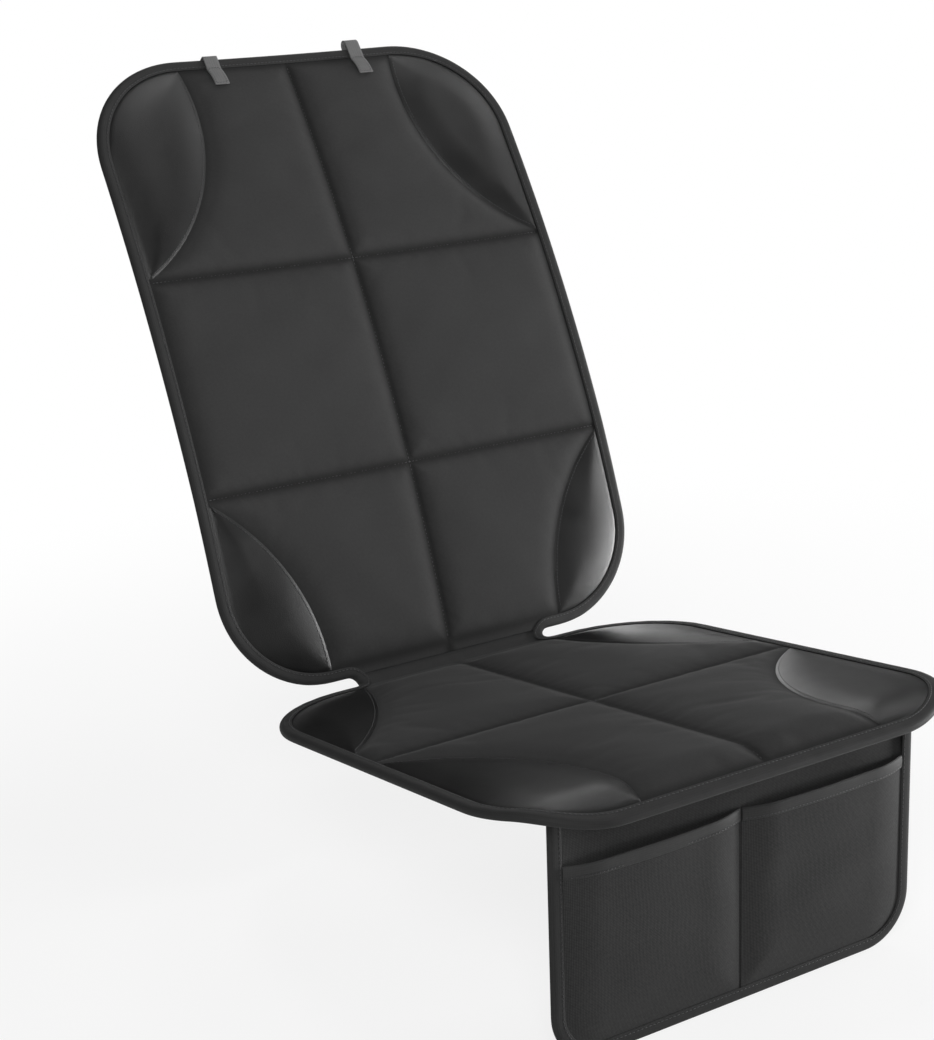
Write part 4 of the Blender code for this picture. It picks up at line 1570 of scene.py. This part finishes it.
@dataclass(frozen=True)
class HeadrestStrap:
    """A webbing strap sewn to the face and led over the top edge."""

    side: Side
    rise: float
    spacing: float = 0.170
    width: float = 0.016
    thickness: float = 0.0014
    reach: float = 0.037
    tail: float = 0.045
    lift: float = 0.0004
    bevel: float = 0.0003
    face_step: float = 0.0025
    tail_step: float = 0.004
    turn_steps: int = 24
    columns: int = 9

    def path(self, section: QuiltedSection) -> list[tuple[float, float]]:
        """Draw the strap's side view, from its sewn end over the edge to its tail.

        Args:
            section: The back section that the strap is sewn to.

        Returns:
            The s and height of each point along the strap's underside.
        """
        face = SIZES.tape_high + self.lift + 0.0004
        rear = SIZES.tape_low - self.lift
        end = SIZES.back_length
        middle = self.spacing / 2
        points = []
        for s in even_levels((end - self.reach, end - SIZES.tape_width), self.face_step):
            held = section.held_distance(np.array([middle]), np.array([s]))
            base = section.base(np.array([middle]), np.array([s]))
            padding = float((base + section.puff * pillow(held, section.shoulder))[0])
            points.append((s, max(padding + self.lift, face)))
        turn, centre = (face - rear) / 2, (face + rear) / 2
        for i in range(self.turn_steps + 1):
            angle = math.pi * i / self.turn_steps
            along = end + self.lift + self.rise * math.sin(angle) ** 0.5
            points.append((along, centre + turn * math.cos(angle)))
        for s in even_levels((end - self.tail, end - SIZES.tape_width), self.tail_step)[::-1]:
            points.append((s, rear))
        return points

    def build(self, section: QuiltedSection, material: bpy.types.Material) -> bpy.types.Object:
        """Model the strap as a ribbon with thickness.

        Args:
            section: The back section that the strap is sewn to.
            material: The webbing's material.

        Returns:
            The strap.
        """
        path = self.path(section)
        reach = reaches(path)
        middle = self.side.value * self.spacing / 2

        def place(row: int, column: int) -> Sequence[float]:
            """Return a point of the strap's underside."""
            across = (column / (self.columns - 1) - 0.5) * self.width
            return (middle + across, path[row][0], path[row][1])

        name = f"headrest_strap_{self.side.name.lower()}"
        piece = ribbon(f"{name}_webbing", len(path), self.columns, place,
                       lambda row, column: (reach[row], column / (self.columns - 1) * self.width))
        set_coords(piece, PROFILE.drape(coords(piece)))
        if piece.data.polygons[0].normal.y > 0:
            with editing(piece):
                bpy.ops.mesh.flip_normals()
        finish_modifier(piece, "SOLIDIFY", thickness=self.thickness, offset=1.0)
        finish_modifier(piece, "BEVEL", width=self.bevel, segments=2, limit_method="ANGLE")
        drop_slivers(piece)
        face_outward(piece)
        return dress(piece, material, Slot.WEBBING, name, smooth=50.0)

    def stitches(self, section: QuiltedSection, sewing: Stitching) -> None:
        """Add the box of stitches that holds the strap to the face.

        Args:
            section: The back section that the strap is sewn to.
            sewing: The stitching that the box joins.
        """
        end = SIZES.back_length
        middle = self.side.value * self.spacing / 2
        low, high = end - self.reach + 0.002, end - SIZES.tape_width - 0.001
        side = self.width / 2 - 0.0018
        path = np.array(self.path(section))[:12]

        def height(x: np.ndarray, s: np.ndarray) -> np.ndarray:
            """Return the height of the strap's outer face."""
            return np.interp(s, path[:, 0], path[:, 1]) + self.thickness

        box = [(middle - side, low), (middle + side, low), (middle + side, high),
               (middle - side, high)]
        sewing.rows.append(StitchRow(box, height, PROFILE.drape, pitch=0.0030, length=0.0021,
                                     closed=True))


@dataclass
class PocketFlap:
    """The flap that hangs from the front, with two open pockets."""

    width: float = 0.384
    setback: float = 0.046
    height: float = 0.231
    radius: float = 0.048
    thickness: float = 0.0020
    cloth: float = 0.0010
    top: float = 0.179
    bulge: float = 0.0090
    divider: float = 0.0024
    shoulder: float = 0.038
    hem: float = 0.0110
    hem_thickness: float = 0.0008
    stitch_inset: float = 0.0098
    panel_cell: float = 0.008
    pocket_cell: float = 0.004
    corner_steps: int = 14
    side_steps: int = 22
    bottom_steps: int = 30
    root: np.ndarray = field(default_factory=lambda: np.zeros(3))

    def __post_init__(self) -> None:
        """Find where the flap is sewn on under the mat."""
        spot = [[0.0, self.setback - SIZES.seat_length, SIZES.lining_low - SIZES.clearance]]
        self.root = PROFILE.drape(np.array(spot))[0]

    def hang(self, flat: np.ndarray) -> np.ndarray:
        """Place flat points on the hanging flap.

        Args:
            flat: Rows of x, up from the bottom edge, and forward from the back face.

        Returns:
            The points in the frame of the CAD model.
        """
        x, v, h = flat.T
        y = self.root[1] + self.thickness / 2 - h
        return np.stack((x, y, self.root[2] - self.height + v), axis=1)

    def outline(self, inset: float, top: float) -> Points:
        """Draw the flap.

        Args:
            inset: Distance in from its sides and bottom.
            top: How far up it goes.

        Returns:
            The flap's closed outline.
        """
        middle = self.width / 2 - self.radius
        corner = arc(middle, self.radius, self.radius - inset, -90, 0, self.corner_steps)
        return mirrored(corner + [(self.width / 2 - inset, top)])

    def edge(self, x: np.ndarray, v: np.ndarray) -> np.ndarray:
        """Measure from the flap's sides and bottom.

        Args:
            x: Places across the flap.
            v: Places up from its bottom edge.

        Returns:
            The distance in from the edge.
        """
        x = np.abs(x)
        across, along = x - (self.width / 2 - self.radius), self.radius - v
        straight = np.minimum(self.width / 2 - x, v)
        rounded = self.radius - np.hypot(across, along)
        return np.where((across > 0) & (along > 0), rounded, straight)

    def bulge_at(self, x: np.ndarray, v: np.ndarray) -> np.ndarray:
        """Shape a pocket's fuller cloth.

        Args:
            x: Places across the flap.
            v: Places up from its bottom edge.

        Returns:
            How far the cloth stands forward of where it is sewn down.
        """
        side = np.minimum(self.edge(x, v) - SIZES.tape_width, np.abs(x) - self.divider)
        swell = np.clip(side / self.shoulder, 0.0, 1.0)
        rise = np.clip(v / self.top, 0.0, 1.2)
        lean = np.clip((np.abs(x) - self.divider) / 0.18, 0.0, 1.0)
        soft = 0.0011 * np.sin(x * 37.0 + 2.0 * np.sin(v * 29.0)) * np.sin(v * 43.0 + x * 11.0)
        form = self.bulge * (1 - (1 - swell) ** 2) * (0.35 + 0.65 * rise)
        return form * (0.97 + 0.06 * np.sin(lean * math.pi)) + soft * eased(side / 0.05)

    def pocket_place(self, flat: np.ndarray) -> np.ndarray:
        """Place flat points of a pocket's cloth or hem on the flap.

        Args:
            flat: Rows of x, up from the bottom edge, and forward from the back face.

        Returns:
            The points in the frame of the CAD model.
        """
        raised = flat.copy()
        raised[:, 2] += self.bulge_at(flat[:, 0], flat[:, 1])
        return self.hang(raised)

    def build_panel(self, finishes: Finishes) -> bpy.types.Object:
        """Model the flap's own cloth.

        Args:
            finishes: The mat's materials.

        Returns:
            The flap's cloth.
        """
        panel = outline_sheet("flap_cloth", self.outline(SIZES.pad_inset, self.height - 0.0003))
        slice_sheet(panel, even_levels((-self.width / 2, self.width / 2), self.panel_cell)[1:-1],
                    even_levels((0.0, self.height), self.panel_cell)[1:-1])
        points = coords(panel)
        x, v = points[:, 0], points[:, 1]
        wave = 0.0006 * np.sin(x * 52.0 + 4.0 * v) * eased((v - self.top) / 0.02)
        form_sheet(panel, self.thickness + wave * eased((self.height - v) / 0.01), 0.0, self.hang)
        return dress(panel, finishes.pocket, Slot.POCKET_CLOTH, "flap_panel")

    def build_binding(self, material: bpy.types.Material) -> bpy.types.Object:
        """Model the tape round the flap's sides and bottom.

        Args:
            material: The tape's material.

        Returns:
            The tape.
        """
        high = self.thickness + self.cloth + 2 * SIZES.clearance + SIZES.tape_thickness
        low = -SIZES.clearance - SIZES.tape_thickness
        width = SIZES.tape_width
        section = [(width, high - 0.0002), (width - 0.0012, high + 0.0002), (0.0070, high + 0.0003),
                   (0.0035, high + 0.0003), (0.0012, high - 0.0004), (0.0002, high - 0.0017),
                   (0.0, (high + low) / 2), (0.0003, low + 0.0015), (0.0015, low + 0.0003),
                   (0.0040, low), (width, low)]
        top = self.height - SIZES.clearance
        base = self.open_path(0.0, top)
        paths = [self.open_path(inset, top) for inset, _ in section]
        reach, wide = reaches(base), reaches(section)
        piece = ribbon("flap_tape", len(base), len(section),
                       lambda row, column: (*paths[column][row], section[column][1]),
                       lambda row, column: (reach[row], wide[column]))
        finish_modifier(piece, "SUBSURF", levels=1, render_levels=1)
        set_coords(piece, self.hang(coords(piece)))
        with editing(piece):
            bpy.ops.mesh.normals_make_consistent(inside=False)
        finish_modifier(piece, "SOLIDIFY", thickness=SIZES.tape_thickness * 0.9, offset=-1.0)
        face_outward(piece)
        return dress(piece, material, Slot.TAPE, "flap_binding", smooth=70.0)

    def open_path(self, inset: float, top: float) -> Points:
        """Draw the path of the tape, down one side, along the bottom and up the other.

        Args:
            inset: Distance in from the flap's sides and bottom.
            top: How far up it goes.

        Returns:
            The open path.
        """
        middle = self.width / 2 - self.radius
        corner = arc(middle, self.radius, self.radius - inset, 0, -90, self.corner_steps)
        side = self.width / 2 - inset
        steps, count = self.side_steps, self.bottom_steps
        right = [(side, top + (self.radius - top) * i / steps) for i in range(steps)] + corner
        bottom = [(middle - 2 * middle * i / count, inset) for i in range(1, count)]
        return right + bottom + [(-x, v) for x, v in reversed(right)]

    def build_pocket(self, finishes: Finishes) -> list[bpy.types.Object]:
        """Model the right pocket with its hem, and their twins on the left.

        Args:
            finishes: The mat's materials.

        Returns:
            The pockets and hems.
        """
        inner = self.divider / 2
        corner = self.outline(SIZES.pad_inset, self.top)[: self.corner_steps + 2]
        outline = [(inner, SIZES.pad_inset)] + corner + [(inner, self.top)]
        low = self.thickness + SIZES.clearance
        pocket = outline_sheet("pocket_right_cloth", outline)
        slice_sheet(pocket, even_levels((inner, self.width / 2), self.pocket_cell)[1:-1],
                    even_levels((0.0, self.top), self.pocket_cell)[1:-1])
        form_sheet(pocket, low + self.cloth, low, self.pocket_place)
        made = [(pocket, "pocket", finishes.pocket, Slot.POCKET_CLOTH)]
        face = low + self.cloth + SIZES.clearance
        crest = self.top + SIZES.clearance + self.hem_thickness
        section = [(self.top - self.hem, face + 0.0002), (self.top - self.hem + 0.0007, face + 0.0010),
                   (self.top - self.hem / 2, face + 0.0013), (self.top - 0.0010, face + 0.0011),
                   (crest - 0.0004, face + 0.0004), (crest, face - 0.0008),
                   (crest - 0.0004, low + 0.0001)]
        outer = self.width / 2 - SIZES.tape_width - SIZES.clearance
        xs, wide = even_levels((inner, outer), self.pocket_cell), reaches(section)
        hem = ribbon("pocket_hem_right_tape", len(xs), len(section),
                     lambda row, column: (xs[row], section[column][0], section[column][1]),
                     lambda row, column: (xs[row], wide[column]))
        set_coords(hem, self.pocket_place(coords(hem)))
        if hem.data.polygons[0].normal.y > 0:
            with editing(hem):
                bpy.ops.mesh.flip_normals()
        finish_modifier(hem, "SOLIDIFY", thickness=self.hem_thickness, offset=-1.0)
        face_outward(hem)
        made.append((hem, "pocket_hem", finishes.hem, Slot.TAPE))
        pieces = []
        for piece, name, material, slot in made:
            twin = mirrored_copy(piece, piece.name.replace("right", "left"))
            pieces += [dress(piece, material, slot, f"{name}_right", smooth=60.0),
                       dress(twin, material, slot, f"{name}_left", smooth=60.0)]
        return pieces

    def stitches(self, material: bpy.types.Material) -> bpy.types.Object:
        """Sew the flap's tape and the pocket hems.

        Args:
            material: The thread's material.

        Returns:
            The flap's stitches as one piece.
        """
        sewing = Stitching("flap_stitching")
        high = self.thickness + self.cloth + 2 * SIZES.clearance + SIZES.tape_thickness + 0.0003
        sewing.rows.append(StitchRow(self.open_path(self.stitch_inset, self.height - 0.002),
                                     lambda x, v: np.full_like(x, high), self.hang))
        face = self.thickness + self.cloth + 2 * SIZES.clearance + 0.0010
        outer = self.width / 2 - SIZES.tape_width - 0.002
        for hand in Side:
            line = [(hand.value * x, self.top - self.hem + 0.002)
                    for x in even_levels((self.divider, outer), self.pocket_cell)]
            sewing.rows.append(StitchRow(line, lambda x, v: np.full_like(x, face),
                                         self.pocket_place, pitch=FINE_PITCH, length=FINE_STITCH))
        return sewing.build(material)

    def build(self, finishes: Finishes) -> list[bpy.types.Object]:
        """Model the whole flap.

        Args:
            finishes: The mat's materials.

        Returns:
            Every piece of the flap.
        """
        panel = self.build_panel(finishes)
        binding = self.build_binding(finishes.tape)
        pieces = self.build_pocket(finishes)
        threads = self.stitches(finishes.thread)
        pockets = [piece for piece in pieces if "cloth" in piece.name]
        hems = [piece for piece in pieces if "hem" in piece.name]
        return [panel, binding, threads, *pieces]


# Studio

@dataclass(frozen=True)
class Lamp:
    """One soft square lamp: where it hangs, what it shines at, its side in metres and its watts."""

    name: str
    spot: tuple[float, float, float]
    aim: tuple[float, float, float]
    size: float
    power: float

    def build(self) -> None:
        """Hang the lamp."""
        data = bpy.data.lights.new(self.name, "AREA")
        data.shape = "SQUARE"
        data.size = self.size
        data.energy = self.power
        lamp = new_object(self.name, data)
        lamp.location = self.spot
        ahead = Vector(self.aim) - Vector(self.spot)
        lamp.rotation_euler = ahead.to_track_quat("-Z", "Y").to_euler()


LAMPS = (
    Lamp("key_lamp", (-1.5, -2.0, 1.8), (0.0, 0.15, 0.2), 1.2, 52.0),
    Lamp("side_lamp", (2.3, -0.2, 0.5), (0.1, 0.1, 0.2), 0.9, 16.0),
    Lamp("flap_lamp", (2.0, -0.6, -0.02), (0.0, -0.21, -0.1), 0.34, 46.0),
    Lamp("top_lamp", (0.45, 0.45, 2.1), (0.0, 0.3, 0.4), 0.5, 5.0),
    Lamp("right_lamp", (1.5, 0.2, 1.8), (0.1, 0.3, 0.4), 0.7, 5.0),
    Lamp("rim_lamp", (1.25, 2.2, 0.25), (0.1, 0.1, 0.0), 0.5, 3.5),
    Lamp("sheen_lamp", (0.95, 1.5, 1.5), (-0.1, -0.2, 0.05), 0.8, 7.0),
)


@dataclass(frozen=True)
class Studio:
    """A white floor, a pale room and soft lamps."""

    floor_drop: float = 0.0008
    floor_size: float = 30.0
    shadow_reach: float = 1.5
    floor_glow: float = 0.80
    room_level: float = 0.07
    gloss_level: float = 0.14
    lamps: tuple[Lamp, ...] = LAMPS

    def build_floor(self) -> None:
        """Lay a white floor that keeps the mat's shadow."""
        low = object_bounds()[0].z
        deselect()
        bpy.ops.mesh.primitive_plane_add(size=self.floor_size, location=(0.0, 0.0, 0.0))
        floor = bpy.context.object
        floor.name = "studio_floor"
        with editing(floor):
            bpy.ops.transform.translate(value=(0.0, 0.0, low - self.floor_drop))
        material, tree, shader = fresh_material("matt_white_floor")
        place = add_node(tree, "ShaderNodeTexCoord").outputs["Object"]
        mottle = add_node(tree, "ShaderNodeTexNoise", {"Vector": place, "Scale": 3.0})
        tone = ramp(tree, mottle.outputs["Fac"], ((0.3, "#f4f4f4"), (0.7, "#f6f6f6")))
        tree.links.new(tone, shader.inputs["Base Color"])
        shader.inputs["Roughness"].default_value = 0.9
        shader.inputs["Specular IOR Level"].default_value = 0.1
        away = add_node(tree, "ShaderNodeVectorMath", {0: place}, operation="LENGTH").outputs["Value"]
        plain = add_node(tree, "ShaderNodeMapRange",
                         {"Value": away, "From Min": self.shadow_reach * 0.35,
                          "From Max": self.shadow_reach, "To Min": self.floor_glow, "To Max": 1.0},
                         interpolation_type="SMOOTHSTEP")
        seen = add_node(tree, "ShaderNodeLightPath").outputs["Is Camera Ray"]
        share = add_node(tree, "ShaderNodeMath", {0: seen, 1: plain.outputs[0]},
                         operation="MULTIPLY").outputs[0]
        glow = add_node(tree, "ShaderNodeEmission", {"Color": srgb("#ffffff"), "Strength": 1.0})
        both = add_node(tree, "ShaderNodeMixShader", {0: share, 1: shader.outputs[0],
                                                      2: glow.outputs[0]})
        tree.links.new(both.outputs[0], tree.nodes["Material Output"].inputs["Surface"])
        floor.data.materials.append(material)
        floor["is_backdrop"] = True

    def build_room(self) -> None:
        """Light the room evenly, and show it white to the camera and through glass.

        Gloss sees it at gloss_level, which keeps the black leatherette as dark as it is.
        """
        world = bpy.data.worlds.new("white_room")
        bpy.context.scene.world = world
        world.use_nodes = True
        tree = world.node_tree
        back = tree.nodes["Background"]
        back.inputs["Color"].default_value = srgb("#ffffff")
        rays = add_node(tree, "ShaderNodeLightPath")
        level = add_node(tree, "ShaderNodeMapRange",
                         {"Value": rays.outputs["Is Glossy Ray"], "To Min": self.room_level,
                          "To Max": self.gloss_level}).outputs[0]
        for kind in ("Is Transmission Ray", "Is Camera Ray"):
            level = add_node(tree, "ShaderNodeMath", {0: level, 1: rays.outputs[kind]},
                             operation="MAXIMUM").outputs[0]
        tree.links.new(level, back.inputs["Strength"])

    def build(self) -> None:
        """Set up floor, room and lamps."""
        self.build_floor()
        self.build_room()
        for lamp in self.lamps:
            lamp.build()


@dataclass(frozen=True)
class Portrait:
    """The camera that sees the mat as the photograph does."""

    frame_width: int = 934
    frame_height: int = 1040
    focal_px: float = 2016.0
    centre_x: float = 512.0
    centre_y: float = 455.0
    azimuth: float = math.radians(32.2)
    pitch: float = math.radians(15.8)
    roll: float = math.radians(-1.65)
    spot: tuple[float, float, float] = (-0.971, -1.4124, 0.7269)

    def build(self) -> None:
        """Place the camera."""
        a, p, r = self.azimuth, self.pitch, self.roll
        ahead = Vector((math.sin(a) * math.cos(p), math.cos(a) * math.cos(p), -math.sin(p)))
        right = Vector((math.cos(a), -math.sin(a), 0.0))
        up = right.cross(ahead)
        right, up = (right * math.cos(r) + up * math.sin(r), up * math.cos(r) - right * math.sin(r))
        data = bpy.data.cameras.new("portrait_camera")
        data.sensor_fit = "HORIZONTAL"
        data.sensor_width = 36.0
        data.lens = self.focal_px / self.frame_width * data.sensor_width
        data.shift_x = (self.frame_width / 2 - self.centre_x) / self.frame_width
        data.shift_y = (self.centre_y - self.frame_height / 2) / self.frame_width
        camera = new_object("portrait_camera", data)
        turn = Matrix((right, up, -ahead)).transposed()
        camera.matrix_world = Matrix.Translation(self.spot) @ turn.to_4x4()
        bpy.context.scene.camera = camera


BACK_PADS = (
    CornerPad("back_patch_top", SIZES.back_length, SIZES.back_top_radius, 0.125, 0.433, 0.042),
    CornerPad("back_patch_bottom", SIZES.notch_radius, SIZES.back_bottom_radius, 0.135, 0.205, 0.024,
              puff=0.0036, shoulder=0.036),
)
SEAT_PADS = (
    CornerPad("seat_patch_rear", -SIZES.notch_radius, SIZES.seat_rear_radius, 0.112, -0.219, 0.016),
    CornerPad("seat_patch_front", -SIZES.seat_length, SIZES.seat_front_radius, 0.125, -0.265, 0.044),
)


def note(pieces: Sequence[bpy.types.Object]) -> None:
    """Report pieces that are done."""
    for piece in pieces:
        LOG.info("%s: %d faces", piece.name, len(piece.data.polygons))


def main() -> None:
    """Build the mat and its studio."""
    logging.basicConfig(level=logging.INFO, format="%(message)s")
    scene = bpy.context.scene
    scene.view_settings.view_transform = "Standard"
    Portrait().build()
    finishes = Finishes.build()
    back = QuiltedSection("back_pad", SIZES.notch_radius, SIZES.back_length,
                          SIZES.back_bottom_radius, SIZES.back_top_radius, (0.209, 0.431),
                          BACK_PADS, OUTLINE.back_corners)
    seat = QuiltedSection("seat_pad", -SIZES.seat_length, -SIZES.notch_radius,
                          SIZES.seat_front_radius, SIZES.seat_rear_radius, (-0.255,),
                          SEAT_PADS, OUTLINE.seat_corners)
    for section in (back, seat):
        note([section.build(finishes), section.stitches(finishes.thread)])
    binding = EdgeBinding()
    tape = binding.build(finishes.tape)
    note([tape, binding.stitches(finishes.thread)])
    lining = Lining()
    sheets = lining.build(finishes)
    lining.declare(sheets[0])
    note(sheets)
    sewing = Stitching("strap_stitching")
    for side, rise in ((Side.LEFT, 0.0010), (Side.RIGHT, 0.0100)):
        strap = HeadrestStrap(side, rise)
        note([strap.build(back, finishes.webbing)])
        strap.stitches(back, sewing)
    note([sewing.build(finishes.thread)])
    note(PocketFlap().build(finishes))
    Studio().build()


if __name__ == "__main__":
    main()
